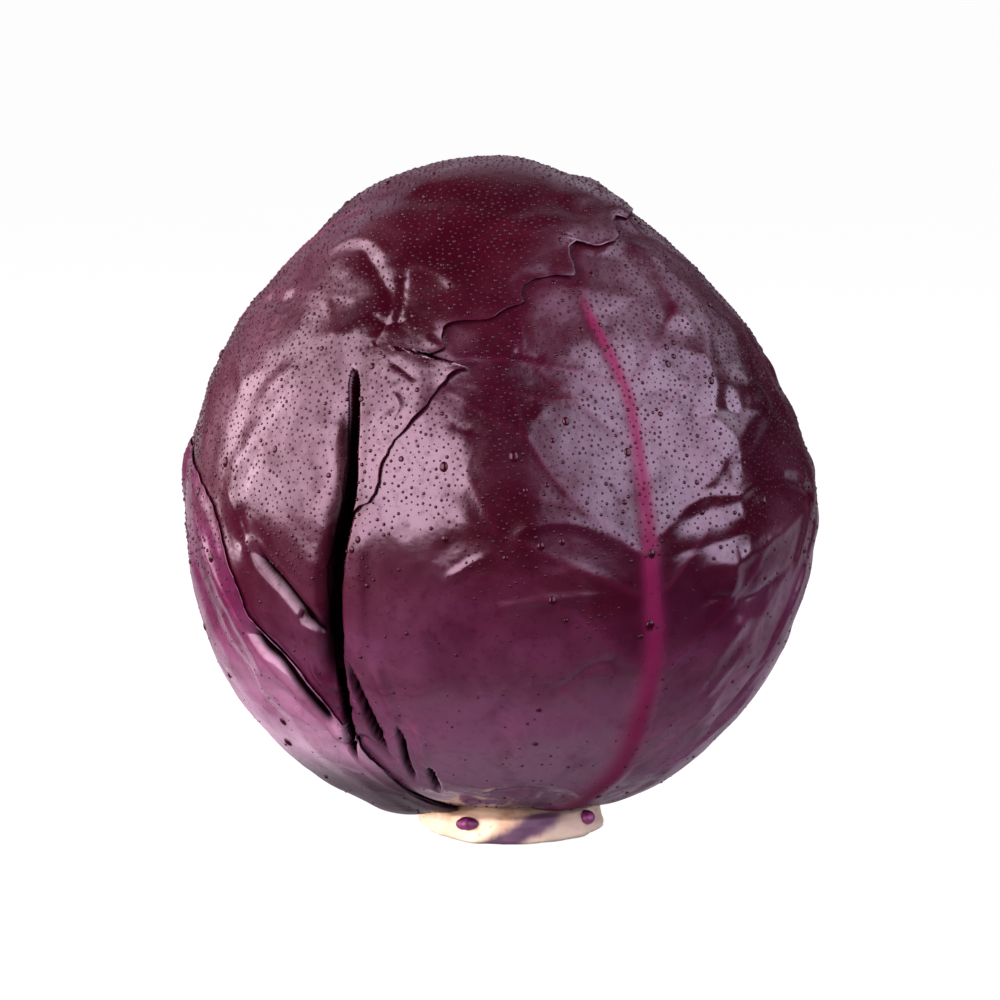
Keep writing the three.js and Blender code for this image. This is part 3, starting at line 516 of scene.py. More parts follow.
class Layers:
    """Every layer's radius at some points, from the heart outwards. All follow the outermost leaf's folds."""

    def __init__(self, points, thickness, crumple):
        self.points = points
        self.past = {leaf.name: leaf.past_edge(points) for leaf in ALL_LEAVES}
        polar = np.degrees(np.arccos(np.clip(points[:, 2], -1, 1)))
        held = ease(polar, NECK_POLAR - 25, NECK_POLAR)
        self.bare, above = {}, np.ones(len(points))
        self.folds = fold_height(points, "all")
        rough = np.zeros(len(points))
        for leaf in reversed(ALL_LEAVES):
            past = self.past[leaf.name]
            self.bare[leaf.name] = above
            own = above * (1 - ease(past, 0, 3))
            self.folds = self.folds + own * fold_height(points, leaf.name)
            rough += own * crumple * self.unevenness(leaf.seed)
            above = above * ease(past, -0.5, 3)
        radius = heart_radius(points) + self.folds + rough
        self.heart = radius
        self.under, self.upper = {}, {}
        for leaf in ALL_LEAVES:
            past = self.past[leaf.name]
            blade = thickness * (0.3 + 0.7 * ease(-past, 0, 4))
            flutter = 0.7 + 0.6 * lumps(points, 7, leaf.seed + 40)
            lift = leaf.lift * flutter * ease(past, -EDGE_BAND, 0) ** 2 * (1 - held)
            under = radius + LAYER_GAP + np.maximum(lift, -0.2)
            self.under[leaf.name], self.upper[leaf.name] = under, under + blade
            drape = 1 - ease(past, DRAPE_START, DRAPE_START + DRAPE_LENGTH)
            radius = radius + (under + blade - radius) * drape

    def unevenness(self, seed):
        broad, fine = lumps(self.points, 8, seed + 10), lumps(self.points, 2.6, seed + 20)
        creased = 0.5 - np.abs(lumps(self.points, 12, seed + 30))
        return 0.12 * broad + 0.02 * fine + 0.2 * creased

    def ribbed(self, leaf):
        """The upper radius of a leaf with its ribs, and how much of each point is vein."""
        height, vein = leaf.rib_and_veins(self.points)
        bare = self.bare[leaf.name]
        return self.upper[leaf.name] + height * bare, vein * bare


def outer_surface(points, thickness, crumple):
    """The radius that shows at each point, how far it is from any edge, and how deep in a fold it lies."""
    layers = Layers(points, thickness, crumple)
    top, clear = layers.heart, np.full(len(points), 99.0)
    for leaf in ALL_LEAVES:
        past = layers.past[leaf.name]
        top = np.where(past < 0, layers.ribbed(leaf)[0], top)
        clear = np.minimum(np.where(past < 0, 99.0, clear), np.abs(past))
    return top, clear, np.clip(-layers.folds, 0, 9)


# ---------------------------------------------------------------- making pieces

def made_object(shape, name, material):
    """Turns a finished bmesh into an object."""
    mesh = bpy.data.meshes.new(name)
    shape.to_mesh(mesh)
    shape.free()
    mesh.materials.append(material)
    made = bpy.data.objects.new(name, mesh)
    bpy.context.scene.collection.objects.link(made)
    return made


def put(shape, name, material, node=None):
    """Makes a piece that rides on the cabbage and stands for its node."""
    bmesh.ops.recalc_face_normals(shape, faces=shape.faces)
    for face in shape.faces:
        face.smooth = True
    piece = made_object(shape, name, material)
    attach(piece, "root")
    if node:
        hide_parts(node)


def move(verts, points, radius):
    """Moves vertices to a radius from the head's centre, in the directions of their points."""
    for vert, place in zip(verts, (points * radius[:, None] + HEAD_CENTRE) * MM):
        vert.co = place


def finer_towards(places, share):
    """Moves grid lines so that those near 1, or with a negative share near -1, lie closer by that share."""
    way = math.copysign(1, share)
    t = (way * places + 1) / 2
    return way * (2 * (abs(share) * t + (1 - abs(share)) * (2 * t - t * t)) - 1)


def leaf_shape(leaf, thickness, crumple, cells):
    """A square grid, rounded and laid over the leaf, with a copy of it for the leaf's underside."""
    shape = bmesh.new()
    attributes = {name: shape.verts.layers.float.new(name) for name in ("vein", "margin", "fold_shade")}
    bmesh.ops.create_grid(shape, x_segments=cells, y_segments=cells, size=1)
    square = np.array([v.co[:2] for v in shape.verts])
    square[:, 0] = finer_towards(square[:, 0], leaf.finer)
    disc = square * np.sqrt(1 - square[:, ::-1] ** 2 / 2)
    points = leaf.on_disc(disc)
    layers = Layers(points, thickness, crumple)
    upper, vein = layers.ribbed(leaf)
    past = layers.past[leaf.name]
    values = {
        "vein": vein * leaf.vein_colour,
        "margin": ease(past, -4, 0),
        # painted shade: how deep a point lies in the folds, which blackens it in the finish
        "fold_shade": ease(-layers.folds, 0.65, 1.9),
    }
    for name, layer in attributes.items():
        for vert, value in zip(shape.verts, values[name]):
            vert[layer] = float(value)
    made = bmesh.ops.extrude_face_region(shape, geom=shape.faces[:], use_keep_orig=True)
    under = [part for part in made["geom"] if isinstance(part, bmesh.types.BMVert)]
    shape.verts.index_update()
    move(shape.verts, points, upper)
    move(under, points, layers.under[leaf.name])
    return shape


def spun(profile, steps, rings):
    """A closed solid of revolution round the Z axis, from a profile that starts and ends on it."""
    shape = bmesh.new()
    corners = [shape.verts.new((r * MM, 0, z * MM)) for r, z in profile]
    edges = [shape.edges.new(pair) for pair in zip(corners, corners[1:])]
    bmesh.ops.subdivide_edges(shape, edges=edges, cuts=rings)
    bmesh.ops.spin(
        shape, geom=shape.verts[:] + shape.edges[:], cent=(0, 0, 0), axis=(0, 0, 1), angle=math.tau,
        steps=steps, use_merge=True,
    )
    bmesh.ops.remove_doubles(shape, verts=shape.verts, dist=1e-6)
    return shape


# ---------------------------------------------------------------- finishes

class Wire:
    """A number that runs through a material's nodes. Sums on it add Math nodes."""

    def __init__(self, looks, socket):
        self.looks, self.socket = looks, socket

    def sum(self, operation, *values):
        node = self.looks.node("ShaderNodeMath", {"operation": operation}, dict(enumerate(values)))
        return Wire(self.looks, node.outputs[0])

    def __add__(self, other):
        return self.sum("ADD", self, other)

    __radd__ = __add__

    def __sub__(self, other):
        return self.sum("SUBTRACT", self, other)

    def __rsub__(self, other):
        return self.sum("SUBTRACT", other, self)

    def __mul__(self, other):
        return self.sum("MULTIPLY", self, other)

    __rmul__ = __mul__

    def __pow__(self, other):
        return self.sum("POWER", self, other)

    def between(self, low, high):
        """0 below low, 1 above high."""
        node = self.looks.node(
            "ShaderNodeMapRange", {"interpolation_type": "SMOOTHSTEP"},
            {"Value": self, "From Min": low, "From Max": high},
        )
        return Wire(self.looks, node.outputs[0])


class Nodes:
    """The nodes of a material or of the world."""

    def __init__(self, tree):
        self.tree = tree

    def node(self, kind, settings=None, values=None):
        """Any node: its settings first, then the values or links of its sockets."""
        node = self.tree.nodes.new(kind)
        for name, value in (settings or {}).items():
            setattr(node, name, value)
        for socket, value in (values or {}).items():
            self.plug(node.inputs[socket], value)
        return node

    def plug(self, socket, value):
        if isinstance(value, Wire):
            value = value.socket
        if isinstance(value, bpy.types.NodeSocket):
            self.tree.links.new(value, socket)
        else:
            socket.default_value = value


class Looks(Nodes):
    """A material with a Principled shader, and the nodes that drive it."""

    def __init__(self, name, **constants):
        self.material = bpy.data.materials.new(name)
        self.material.use_nodes = True
        super().__init__(self.material.node_tree)
        self.shader = next(n for n in self.tree.nodes if n.type == "BSDF_PRINCIPLED")
        for socket, value in constants.items():
            self.shader.inputs[socket.replace("_", " ")].default_value = value
        self.place = self.node("ShaderNodeTexCoord").outputs["Object"]

    def drive(self, **sockets):
        for name, value in sockets.items():
            self.plug(self.shader.inputs[name.replace("_", " ")], value)
        return self.material

    def matt(self, share, colour):
        """Lays a matt colour over a share of the surface."""
        out = next(n for n in self.tree.nodes if n.type == "OUTPUT_MATERIAL").inputs["Surface"]
        cover = self.node("ShaderNodeBsdfDiffuse", None, {"Color": colour})
        values = {0: share, 1: out.links[0].from_socket, 2: cover.outputs[0]}
        self.plug(out, self.node("ShaderNodeMixShader", None, values).outputs[0])

    def noise(self, scale, detail=3, stretch=(1, 1, 1), distortion=0.0, roughness=0.55):
        place = self.place
        if stretch != (1, 1, 1):
            place = self.node("ShaderNodeMapping", None, {"Vector": place, "Scale": stretch}).outputs[0]
        values = {"Vector": place, "Scale": scale, "Detail": detail, "Roughness": roughness}
        values["Distortion"] = distortion
        return Wire(self, self.node("ShaderNodeTexNoise", None, values).outputs["Fac"])

    def attribute(self, name):
        return Wire(self, self.node("ShaderNodeAttribute", {"attribute_name": name}).outputs["Fac"])

    def along(self, axis):
        split = self.node("ShaderNodeSeparateXYZ", None, {0: self.place})
        return Wire(self, split.outputs[axis])

    def blend(self, share, first, second):
        """A colour between two others."""
        node = self.node("ShaderNodeMix", {"data_type": "RGBA"}, {0: share, 6: first, 7: second})
        return node.outputs[2]

    def bump(self, height, strength, distance):
        values = {"Strength": strength, "Distance": distance, "Height": height}
        return self.node("ShaderNodeBump", None, values).outputs[0]


def rgb(colour):
    return (*colour, 1)


def leaf_finish(name, tone, settings):
    """Dark waxy leaf. tone 0 is the darkest plum and 1 the palest violet."""
    looks = Looks(name, IOR=1.45, Specular_Tint=rgb(settings.sheen))
    mottle = looks.noise(24, 4, roughness=0.6)
    patches = looks.noise(55, 3, distortion=0.6)
    streaks = looks.noise(45, 4, stretch=(0.3, 0.3, 1.6), distortion=0.4)
    speckle = looks.noise(1500, 2)
    haze = looks.noise(16, 4, stretch=(1, 1, 2.2), distortion=0.5)
    glint = looks.noise(150, 4, stretch=(1, 1, 0.4), distortion=1.2)
    worn, specks = looks.noise(62, 4, distortion=0.9), looks.noise(640, 3)
    vein, margin, fold_shade = looks.attribute("vein"), looks.attribute("margin"), looks.attribute("fold_shade")
    height = looks.along("Z")
    low, near_stem = 1 - height.between(0.01, 0.092), 1 - height.between(0.009, 0.022)
    lowest = 1 - height.between(0.02, 0.062)
    # painted shade: the outer leaf darkens towards the floor, where little light reaches
    foot = (1 - height.between(0.013, 0.027)) * (2.2 * tone)
    bloom = (low * 0.6 + patches.between(0.3, 0.8) * 0.2 + tone).between(0.05, 1.15)
    blush = lowest * (0.75 + 0.45 * streaks.between(0.4, 0.65)) * (1.4 * tone)
    layers = (
        (bloom, settings.violet),
        (streaks.between(0.42, 0.68) * 0.55, settings.wine),
        (speckle.between(0.55, 0.8) * 0.35, settings.wine),
        (haze.between(0.48, 0.75) * low * 0.55, settings.haze),
        # painted highlight: pale streaks near the stem stand in for the wet glints on the leaf bases
        (glint.between(0.52, 0.7) * near_stem * 0.6, settings.glint),
        (blush, settings.blush),
        (foot, settings.foot),
        (vein.between(0.05, 1.0) * (0.95 - 0.5 * streaks), settings.vein),
        (margin**4 * 0.15, settings.rim),
    )
    colour = looks.blend(mottle.between(0.35, 0.65), rgb(settings.plum), rgb(settings.wine))
    for share, over in layers:
        colour = looks.blend(share, colour, rgb(over))
    grain = looks.noise(420, 3) * 0.6 + looks.noise(1400, 2) * 0.25 + streaks * 0.5 + looks.noise(110, 3) * 3
    dull = worn.between(0.44, 0.66) * 0.4 + specks.between(0.5, 0.72) * 0.3
    looks.matt(dull * (1 - low * 0.4), rgb(settings.dull))
    looks.matt(vein * 0.8, rgb(settings.midrib))
    # painted shade: a dark matt cover at the outer leaf's base near the floor
    looks.matt(foot * 0.75, rgb(settings.foot))
    # painted shade: a near-black matt colour deep in the folds and slits
    looks.matt(fold_shade, rgb(settings.depth))
    return looks.drive(
        Base_Color=colour,
        Roughness=0.15 + mottle.between(0.35, 0.7) * 0.13 + patches.between(0.3, 0.8) * 0.1 + vein * 0.12,
        Normal=looks.bump(grain, 0.16, 0.0004),
    )


def water_finish(settings):
    looks = Looks("water on leaf", IOR=1.24, Roughness=0.06)
    mottle = looks.noise(40, 2)
    return looks.drive(Base_Color=looks.blend(mottle, rgb(settings.plum), rgb(settings.wine)))


def stem_finish(settings):
    looks = Looks("cut stem", IOR=1.4)
    band, bark, ring = looks.attribute("band"), looks.attribute("bark"), looks.attribute("ring")
    grain = looks.noise(260, 4, stretch=(1, 1, 0.3))
    blotch = looks.noise(70, 3, distortion=0.5)
    colour = looks.blend(blotch.between(0.35, 0.7), rgb(settings.flesh), rgb(settings.tan))
    colour = looks.blend(grain.between(0.55, 0.8) * 0.45, colour, rgb(settings.tan))
    colour = looks.blend(ring.between(0.2, 0.9) * 0.4, colour, rgb(settings.tan))
    colour = looks.blend(looks.noise(480, 2).between(0.66, 0.76) * 0.5, colour, rgb(settings.speck))
    # painted shade: the stem's right side is darkened where the leaves' shadow falls on it
    colour = looks.blend(looks.along("X").between(0, 0.012) * 0.8, colour, rgb(settings.shade))
    scar = (band + grain * 0.5).between(0.4, 1.15)
    colour = looks.blend(scar, colour, rgb(settings.scar))
    colour = looks.blend(bark.between(0.3, 1) * 0.85, colour, rgb(settings.scar))
    return looks.drive(
        Base_Color=colour,
        Roughness=0.45 + grain * 0.2,
        Normal=looks.bump(grain * 0.7 + looks.noise(900, 2) * 0.3, 0.35, 0.0004),
    )


def bud_finish(settings):
    looks = Looks("bud", IOR=1.5)
    streaks = looks.noise(900, 3, stretch=(1, 1, 0.4))
    colour = looks.blend(streaks.between(0.35, 0.7), rgb(settings.bud), rgb(settings.plum))
    bump = looks.bump(streaks, 0.4, 0.0003)
    return looks.drive(Base_Color=colour, Roughness=0.34 + streaks * 0.2, Normal=bump)


def heart_finish(settings):
    looks = Looks("inner leaves", IOR=1.45)
    mottle = looks.noise(60, 3)
    colour = looks.blend(mottle, rgb(settings.plum), rgb(settings.heart))
    bump = looks.bump(mottle, 0.2, 0.0005)
    return looks.drive(Base_Color=colour, Roughness=0.4 + mottle * 0.2, Normal=bump)


def floor_finish(settings):
    looks = Looks("studio floor", IOR=1.2, Emission_Strength=settings.floor_glow)
    looks.shader.inputs["Emission Color"].default_value = rgb(settings.floor)
    grain = looks.noise(6, 3)
    colour = looks.blend(grain * 0.1, rgb((0.06, 0.06, 0.06)), rgb((0.05, 0.05, 0.05)))
    return looks.drive(Base_Color=colour, Roughness=0.6 + grain * 0.1)


# ---------------------------------------------------------------- settings

def colour_setting(name, description, default):
    return bpy.props.FloatVectorProperty(
        name=name, description=description, default=default, subtype="COLOR", size=3, min=0, max=1
    )


def length_setting(name, description, default, low, high):
    return bpy.props.FloatProperty(
        name=name, description=description, default=default, min=low, max=high, subtype="DISTANCE",
        unit="LENGTH",
    )


def count_setting(name, description, default):
    return bpy.props.IntProperty(name=name, description=description, default=default, min=0)


def power_setting(name, description, default):
    return bpy.props.FloatProperty(name=name, description=description, default=default, min=0, unit="POWER")


class LeafSettings(bpy.types.PropertyGroup):
    thickness: length_setting(
        "Blade thickness", "Thickness of a leaf, away from its ribs", 0.0008, 0.0003, 0.002
    )
    crumple: bpy.props.FloatProperty(
        name="Crumple", description="How uneven the leaves are between their folds", default=1.0, min=0,
        max=3, subtype="FACTOR",
    )
    plum: colour_setting("Plum", "Darkest colour of the leaves", (0.008, 0.0003, 0.0015))
    wine: colour_setting("Wine", "Redder colour between the dark patches", (0.017, 0.0006, 0.0032))
    violet: colour_setting("Violet", "Paler colour low on the head", (0.07, 0.0085, 0.042))
    vein: colour_setting("Veins", "Colour of the midribs and side veins", (0.06, 0.003, 0.022))
    haze: colour_setting("Haze", "Greyer bloom in patches low on the head", (0.045, 0.02, 0.04))
    # painted highlight: colour of the pale streaks near the stem, which stand in for wet glints
    glint: colour_setting("Glint", "Pale wax round the stem", (0.28, 0.27, 0.36))
    blush: colour_setting("Blush", "Pink of the outer leaf's lower part", (0.27, 0.185, 0.245))
    # painted shade: the dark grey that stands for the shade at the outer leaf's base
    foot: colour_setting("Foot", "Dark grey of the outer leaf's base", (0.02, 0.013, 0.016))
    midrib: colour_setting("Midribs", "Matt colour of the raised midribs", (0.07, 0.004, 0.024))
    dull: colour_setting("Dull patches", "Colour where the gloss is worn", (0.013, 0.0006, 0.0034))
    # painted shade: the near-black colour laid deep in the folds and slits
    depth: colour_setting("Depth", "What is left of the colour deep in a fold", (0.0008, 0.0001, 0.0003))
    rim: colour_setting("Rim", "Colour of the leaves' thin edges", (0.04, 0.006, 0.02))
    sheen: colour_setting("Sheen", "Tint of the waxy sheen", (1.0, 0.9, 1.0))
    bud: colour_setting("Buds", "Colour of the buds", (0.12, 0.008, 0.07))
    heart: colour_setting("Heart", "Paler colour of the inner leaves", (0.02, 0.003, 0.01))


class StemSettings(bpy.types.PropertyGroup):
    radius: length_setting("Radius", "Radius of the stem at its collar", 0.0225, 0.015, 0.03)
    flesh: colour_setting("Flesh", "Pale colour of the bare stem", (0.66, 0.55, 0.34))
    tan: colour_setting("Tan", "Darker colour of the bare stem", (0.34, 0.24, 0.13))
    speck: colour_setting("Specks", "Colour of the small dark specks", (0.16, 0.09, 0.05))
    # painted shade: colour of the stem's right side, which lies in the leaves' shadow
    shade: colour_setting("Shade", "Colour of the stem's right side", (0.24, 0.2, 0.15))
    scar: colour_setting("Scar", "Colour of the scars that leaves left", (0.06, 0.03, 0.055))


class DropSettings(bpy.types.PropertyGroup):
    count: count_setting("Drops", "How many small drops are tried", 150000)
    spacing: length_setting(
        "Spacing", "Least distance between the middles of two drops", 0.00124, 0.0005, 0.01
    )
    size: length_setting("Size", "Middle radius of the small drops", 0.00031, 0.0001, 0.002)
    large: count_setting("Large drops", "How many large drops are tried", 44)
    seed: count_setting("Seed", "Another seed gives other places", 7)


class StageSettings(bpy.types.PropertyGroup):
    floor: colour_setting("Floor", "Colour of the floor", (1.0, 1.0, 1.0))
    floor_glow: bpy.props.FloatProperty(
        name="Floor glow", description="Light that the floor gives off, which keeps it pale", default=0.95,
        min=0,
    )
    left_light: power_setting("Left softbox", "Power of the softbox on the left", 59)
    right_light: power_setting("Right softbox", "Power of the softbox on the right", 37)
    lens: bpy.props.FloatProperty(
        name="Lens", description="Focal length of the camera", default=158, min=20, max=400, unit="CAMERA"
    )


# ---------------------------------------------------------------- operators

class CABBAGE_OT_leaves(bpy.types.Operator):
    """Make the five wrapper leaves"""

    bl_idname = "cabbage.leaves"
    bl_label = "Leaves"

    def execute(self, context):
        settings = context.scene.cabbage_leaves
        finishes = {
            "leaf_front": (leaf_finish("front leaf", 0.08, settings), "leaf_front"),
            "leaf_crown": (leaf_finish("crown leaf", 0.0, settings), "leaf_crown"),
            "leaf_left": (leaf_finish("outer leaf", 0.42, settings), "leaf_outer"),
            "leaf_right": (leaf_finish("inner leaf", 0.1, settings), "leaf_inner"),
        }
        finishes["leaf_back"] = finishes["leaf_right"]
        for leaf in ALL_LEAVES:
            cells = leaf.cells
            shape = leaf_shape(leaf, settings.thickness / MM, settings.crumple, cells)
            material, slot = finishes[leaf.name]
            put(shape, leaf.name + "_skin", material, leaf.name)
        return {"FINISHED"}


class CABBAGE_OT_heart(bpy.types.Operator):
    """Make the dense heart inside the leaves"""

    bl_idname = "cabbage.heart"
    bl_label = "Heart"

    def execute(self, context):
        leaves = context.scene.cabbage_leaves
        shape = bmesh.new()
        bmesh.ops.create_icosphere(shape, subdivisions=5, radius=1)
        points = unit(np.array([v.co[:] for v in shape.verts]))
        radius = Layers(points, leaves.thickness / MM, crumple=0).heart - HEART_GAP - sunk_below_slits(points)
        move(shape.verts, points, radius)
        for vert in shape.verts:
            vert.co.z = max(vert.co.z, HEART_LOWEST * MM)
        put(shape, "heart_mass", heart_finish(leaves), "heart")
        return {"FINISHED"}


class CABBAGE_OT_stem(bpy.types.Operator):
    """Make the cut stem with its bark, scars and core"""

    bl_idname = "cabbage.stem"
    bl_label = "Stem"

    def execute(self, context):
        settings = context.scene.cabbage_stem
        collar = settings.radius / MM
        profile = [
            (0, 0.25), (5, 0.3), (12, 0.15), (collar - 2.6, 0), (collar - 2.0, 0.2), (collar - 1.0, 1.0),
            (collar - 0.3, 2.8), (collar, 4.6), (collar - 0.8, 6.2), (collar - 4.5, 7.4), (collar - 10, 9),
            (8, 34), (0, 34),
        ]
        shape = spun(profile, steps=144, rings=4)
        layers = {name: shape.verts.layers.float.new(name) for name in ("band", "bark", "ring")}
        places = np.array([v.co[:] for v in shape.verts]) / MM
        radius = np.hypot(places[:, 0], places[:, 1])
        turn = np.arctan2(places[:, 0], -places[:, 1])
        lobes = 1 + 0.035 * np.sin(2 * turn + 0.8) + 0.03 * np.sin(3 * turn + 2.1) + 0.05 * np.sin(turn)
        side = ease(radius, collar - 4.5, collar - 2)
        points = places / NOMINAL_RADIUS
        wobble = side * (0.35 * lumps(points, 3, 70) + 0.12 * lumps(points, 1.2, 71))
        face = (1 - side) * ease(8 - places[:, 2], 0, 6)
        rings = 0.12 * np.sin(radius * 1.9 + lumps(points, 6, 72)) * face
        slant = np.degrees(turn) - SCAR_AZIMUTH - (places[:, 2] - 3) * SCAR_CLIMB
        band = np.exp(-((slant / SCAR_WIDTH) ** 2)) * side
        flare = 1.8 * ease(np.sin(turn), 0.2, 1) * (1 - ease(places[:, 2], 1, 4.5)) * side
        crown = ease(places[:, 2], 5.5, 8) * side
        foot = (1 - ease(places[:, 2], 0.2, 1.3)) * ease(radius, collar - 4.4, collar - 3.4)
        for i, vert in enumerate(shape.verts):
            push = 1 + (wobble[i] + flare[i] - 0.3 * band[i]) / max(radius[i], 1)
            vert.co.x *= lobes[i] * push
            vert.co.y *= lobes[i] * push
            vert.co.z = max(vert.co.z + max(rings[i], 0) * MM, 0)
            vert[layers["band"]] = float(band[i])
            vert[layers["bark"]] = float(max(crown[i], 0.7 * foot[i]))
            vert[layers["ring"]] = float(abs(rings[i]) * 8)
        put(shape, "stem_bark", stem_finish(settings), "stem")
        return {"FINISHED"}


class CABBAGE_OT_buds(bpy.types.Operator):
    """Make the two buds on the stem"""

    bl_idname = "cabbage.buds"
    bl_label = "Buds"

    def execute(self, context):
        material = bud_finish(context.scene.cabbage_leaves)
        for node in ("bud_left", "bud_right"):
            low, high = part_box(node)
            middle, half = (low + high) / 2, (high - low) / 2
            shape = bmesh.new()
            bmesh.ops.create_uvsphere(shape, u_segments=40, v_segments=24, radius=1)
            for vert in shape.verts:
                x, y, z = vert.co
                scale = 1 - 0.16 * max(0, math.sin(3 * math.atan2(z, x) + 0.6)) ** 3 * (1 - abs(y))
                point = 1 + 0.12 * max(x, 0)
                vert.co = middle + Vector((x * half.x * point, y * half.y * scale, z * half.z * scale))
            put(shape, node + "_scales", material, node)
        return {"FINISHED"}


class CABBAGE_OT_drops(bpy.types.Operator):
    """Scatter drops of water over the leaves"""

    bl_idname = "cabbage.drops"
    bl_label = "Drops"

    def execute(self, context):
        settings = context.scene.cabbage_drops
        leaves = context.scene.cabbage_leaves
        draw = np.random.default_rng(settings.seed)
        large, count = settings.large, settings.count // 1
        points = unit(draw.normal(size=(large + count, 3)))
        polar = np.degrees(np.arccos(points[:, 2]))
        sizes = settings.size / MM * np.exp(draw.normal(0, SMALL_SPREAD, len(points)))
        sizes[:large] = draw.uniform(*LARGE_RADII, large)
        wet = 1 - ease(polar + 9 * lumps(points, 16, 80), *WET_ENDS)
        chance = np.clip(wet + DRY_SHARE, 0, 1)
        chance[:large] = 1 - ease(polar[:large], *LARGE_ENDS)
        keep = draw.uniform(size=len(points)) < chance
        chosen = spaced(points[keep], sizes[keep], settings.spacing / MM)
        points, sizes = points[keep][chosen], sizes[keep][chosen]
        thickness, crumple = leaves.thickness / MM, leaves.crumple
        radius, clear, depth = outer_surface(points, thickness, crumple)
        step = PROBE / NOMINAL_RADIUS
        east = unit(np.cross([0, 0, 1], points))
        north = np.cross(points, east)
        beside, _, _ = outer_surface(unit(points + step * east), thickness, crumple)
        above, _, _ = outer_surface(unit(points + step * north), thickness, crumple)
        slope = np.hypot(beside - radius, above - radius) / PROBE
        across, along = ((beside - radius) / PROBE)[:, None], ((above - radius) / PROBE)[:, None]
        normals = unit(points - east * across - north * along)
        fits = (clear > sizes + EDGE_ROOM) & (depth < DEEPEST) & (slope < STEEPEST)
        chosen = np.flatnonzero(fits)
        material = water_finish(leaves)
        batches = [chosen[start:start + DROP_BATCH] for start in range(0, len(chosen), DROP_BATCH)]
        for number, batch in enumerate(batches, 1):
            shape = bmesh.new()
            for start in range(0, len(batch), HANDFUL):
                handful = bmesh.new()
                for i in batch[start:start + HANDFUL]:
                    spot = Vector((points[i] * radius[i] + HEAD_CENTRE) * MM)
                    flatness = draw.uniform(*FLATNESS)
                    add_drop(handful, spot, Vector(normals[i]), float(sizes[i]) * MM, flatness)
                add_shape(shape, handful)
            put(shape, f"water_drops_{number}", material)
        return {"FINISHED"}


def spaced(points, sizes, spacing):
    """Picks drops that don't touch, the large ones first."""
    places = (points * NOMINAL_RADIUS).tolist()
    grid = np.floor(points * NOMINAL_RADIUS / DROP_CELL).astype(int).tolist()
    sizes = sizes.tolist()
    cells, chosen = {}, []
    beside = list(itertools.product((-1, 0, 1), repeat=3))
    for i, (place, (x, y, z)) in enumerate(zip(places, grid)):
        near = [k for a, b, c in beside for k in cells.get((x + a, y + b, z + c), ())]
        if all(math.dist(place, places[k]) > max(spacing, DROP_ROOM * (sizes[i] + sizes[k])) for k in near):
            cells.setdefault((x, y, z), []).append(i)
            chosen.append(i)
    return chosen


def add_shape(shape, part):
    """Moves a small bmesh into a large one."""
    mesh = bpy.data.meshes.new("part")
    part.to_mesh(mesh)
    part.free()
    shape.from_mesh(mesh)
    bpy.data.meshes.remove(mesh)


def add_drop(shape, spot, normal, size, flatness):
    """A low dome that sits a little into the leaf. A large one sags and has more faces."""
    sag = SAG if size > SAGGING else 1.0
    stand = normal.to_track_quat("Z", "Y").to_matrix().to_4x4()
    place = Matrix.Translation(spot) @ stand
    place = place @ Matrix.Diagonal((size, size * sag, size * flatness, 1))
    bmesh.ops.create_icosphere(shape, subdivisions=2 if size > FINER_DROPS else 1, radius=1, matrix=place)


class CABBAGE_OT_stage(bpy.types.Operator):
    """Set the floor, the softboxes, the sky and the camera"""

    bl_idname = "cabbage.stage"
    bl_label = "Stage"

    def execute(self, context):
        settings = context.scene.cabbage_stage
        shape = bmesh.new()
        bmesh.ops.create_grid(shape, x_segments=1, y_segments=1, size=FLOOR_SIZE)
        floor = made_object(shape, "floor", floor_finish(settings))
        floor.visible_glossy = False
        power = {"left": settings.left_light, "right": settings.right_light}
        for name, azimuth, elevation, size, side, share, colour, fading, lean in SOFTBOXES:
            softbox(name, azimuth, elevation, size, share * power[side], colour, fading, lean)
        sky(context.scene)
        camera(context.scene, settings.lens)
        return {"FINISHED"}


def softbox(name, azimuth, elevation, size, power, colour, fading, lean):
    """A softbox whose light fades at its edges: panels behind each other, each larger than the one before.

    lean says on which side it fades: -1 on the left, 1 on the right and 0 on both.
    """
    turn, rise = math.radians(azimuth), math.radians(elevation)
    out = Vector((math.sin(turn) * math.cos(rise), -math.cos(turn) * math.cos(rise), math.sin(rise)))
    beside = Vector((math.cos(turn), math.sin(turn), 0))
    grown = [(1 + fading[0] * step, 1 + fading[1] * step) for step in range(PANELS)]
    for step, (wider, taller) in enumerate(grown):
        light = bpy.data.lights.new(f"{name} {step}", "AREA")
        light.shape = "RECTANGLE"
        light.size, light.size_y = size[0] * wider, size[1] * taller
        light.energy = power * wider * taller / sum(w * t for w, t in grown)
        light.color = colour
        lamp = bpy.data.objects.new(light.name, light)
        lamp.location = Vector(HEAD_CENTRE * MM) + out * (LIGHT_DISTANCE + PANEL_GAP * step)
        lamp.location += beside * lean * size[0] * (wider - 1) / 2
        lamp.location.z = max(lamp.location.z, light.size_y / 2 + LIGHT_CLEARANCE)
        lamp.rotation_euler = Vector((out.x, out.y, 0)).to_track_quat("Z", "Y").to_euler()
        lamp.visible_camera = False
        bpy.context.scene.collection.objects.link(lamp)


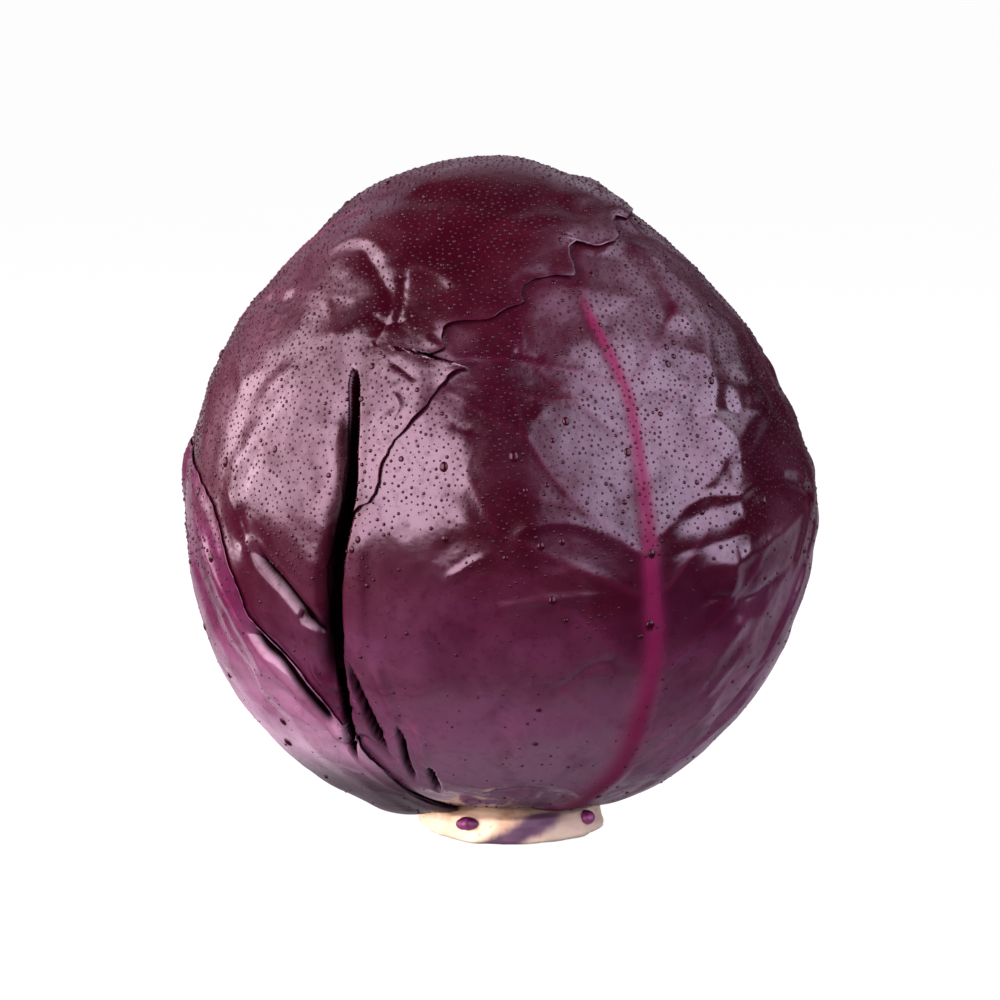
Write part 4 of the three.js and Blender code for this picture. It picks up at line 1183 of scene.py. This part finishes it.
def sky(scene):
    """A pale backdrop for the camera, and a dim room with soft glows for the light."""
    world = bpy.data.worlds.new("studio")
    scene.world = world
    world.use_nodes = True
    world.node_tree.nodes.clear()
    nodes = Nodes(world.node_tree)
    direction = nodes.node("ShaderNodeTexCoord").outputs["Generated"]
    light = DIM_ROOM
    for glow in reversed(GLOWS):
        both = {0: faded(nodes, direction, *glow), 1: light}
        light = nodes.node("ShaderNodeVectorMath", {"operation": "MAXIMUM"}, both).outputs[0]
    room = nodes.node("ShaderNodeBackground", None, {"Color": light}).outputs[0]
    backdrop = nodes.node("ShaderNodeBackground", None, {"Color": (1, 1, 1, 1)}).outputs[0]
    seen = nodes.node("ShaderNodeLightPath").outputs["Is Camera Ray"]
    mix = nodes.node("ShaderNodeMixShader", None, {0: seen, 1: room, 2: backdrop})
    nodes.node("ShaderNodeOutputWorld", None, {0: mix.outputs[0]})


def faded(nodes, direction, towards, low, high, light):
    """A glow in one direction, from nothing at the low share of it to its full light at the high share."""
    both = {0: direction, 1: Vector(towards).normalized()}
    share = nodes.node("ShaderNodeVectorMath", {"operation": "DOT_PRODUCT"}, both).outputs["Value"]
    fade = nodes.node(
        "ShaderNodeMapRange", {"interpolation_type": "SMOOTHSTEP"},
        {"Value": share, "From Min": low, "From Max": high},
    )
    lit = nodes.node("ShaderNodeVectorMath", {"operation": "SCALE"}, {0: light, "Scale": fade.outputs[0]})
    return lit.outputs[0]


def camera(scene, lens):
    rise = math.radians(CAMERA_RISE)
    centre = Vector(HEAD_CENTRE * MM)
    eye = bpy.data.cameras.new("camera")
    eye.lens, eye.sensor_width = lens, SENSOR_WIDTH
    seen = bpy.data.objects.new("camera", eye)
    seen.location = centre + CAMERA_DISTANCE * Vector((0, -math.cos(rise), math.sin(rise)))
    aim = centre + Vector(CAMERA_AIM)
    seen.rotation_euler = (aim - seen.location).to_track_quat("-Z", "Y").to_euler()
    scene.collection.objects.link(seen)
    scene.camera = seen
    scene.view_settings.view_transform = "Standard"


class CABBAGE_PT_panel(bpy.types.Panel):
    bl_label = "Red cabbage"
    bl_idname = "CABBAGE_PT_panel"
    bl_space_type = "VIEW_3D"
    bl_region_type = "UI"
    bl_category = "Cabbage"

    def draw(self, context):
        for operator, settings in STEPS:
            box = self.layout.box()
            box.operator(operator.bl_idname)
            for name in getattr(context.scene, settings).__annotations__:
                box.prop(getattr(context.scene, settings), name)


STEPS = (
    (CABBAGE_OT_stage, "cabbage_stage"),
    (CABBAGE_OT_heart, "cabbage_leaves"),
    (CABBAGE_OT_stem, "cabbage_stem"),
    (CABBAGE_OT_buds, "cabbage_leaves"),
    (CABBAGE_OT_leaves, "cabbage_leaves"),
    (CABBAGE_OT_drops, "cabbage_drops"),
)
SETTINGS = {
    "cabbage_leaves": LeafSettings,
    "cabbage_stem": StemSettings,
    "cabbage_drops": DropSettings,
    "cabbage_stage": StageSettings,
}


def register():
    for name, group in SETTINGS.items():
        bpy.utils.register_class(group)
        setattr(bpy.types.Scene, name, bpy.props.PointerProperty(type=group))
    for operator, _ in STEPS:
        bpy.utils.register_class(operator)
    bpy.utils.register_class(CABBAGE_PT_panel)


def unregister():
    bpy.utils.unregister_class(CABBAGE_PT_panel)
    for operator, _ in STEPS:
        bpy.utils.unregister_class(operator)
    for name, group in SETTINGS.items():
        delattr(bpy.types.Scene, name)
        bpy.utils.unregister_class(group)


def main():
    register()
    bpy.ops.cabbage.stage()
    bpy.ops.cabbage.heart()
    bpy.ops.cabbage.stem()
    bpy.ops.cabbage.buds()
    bpy.ops.cabbage.leaves()
    bpy.ops.cabbage.drops()
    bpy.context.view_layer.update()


if __name__ == "__main__":
    main()
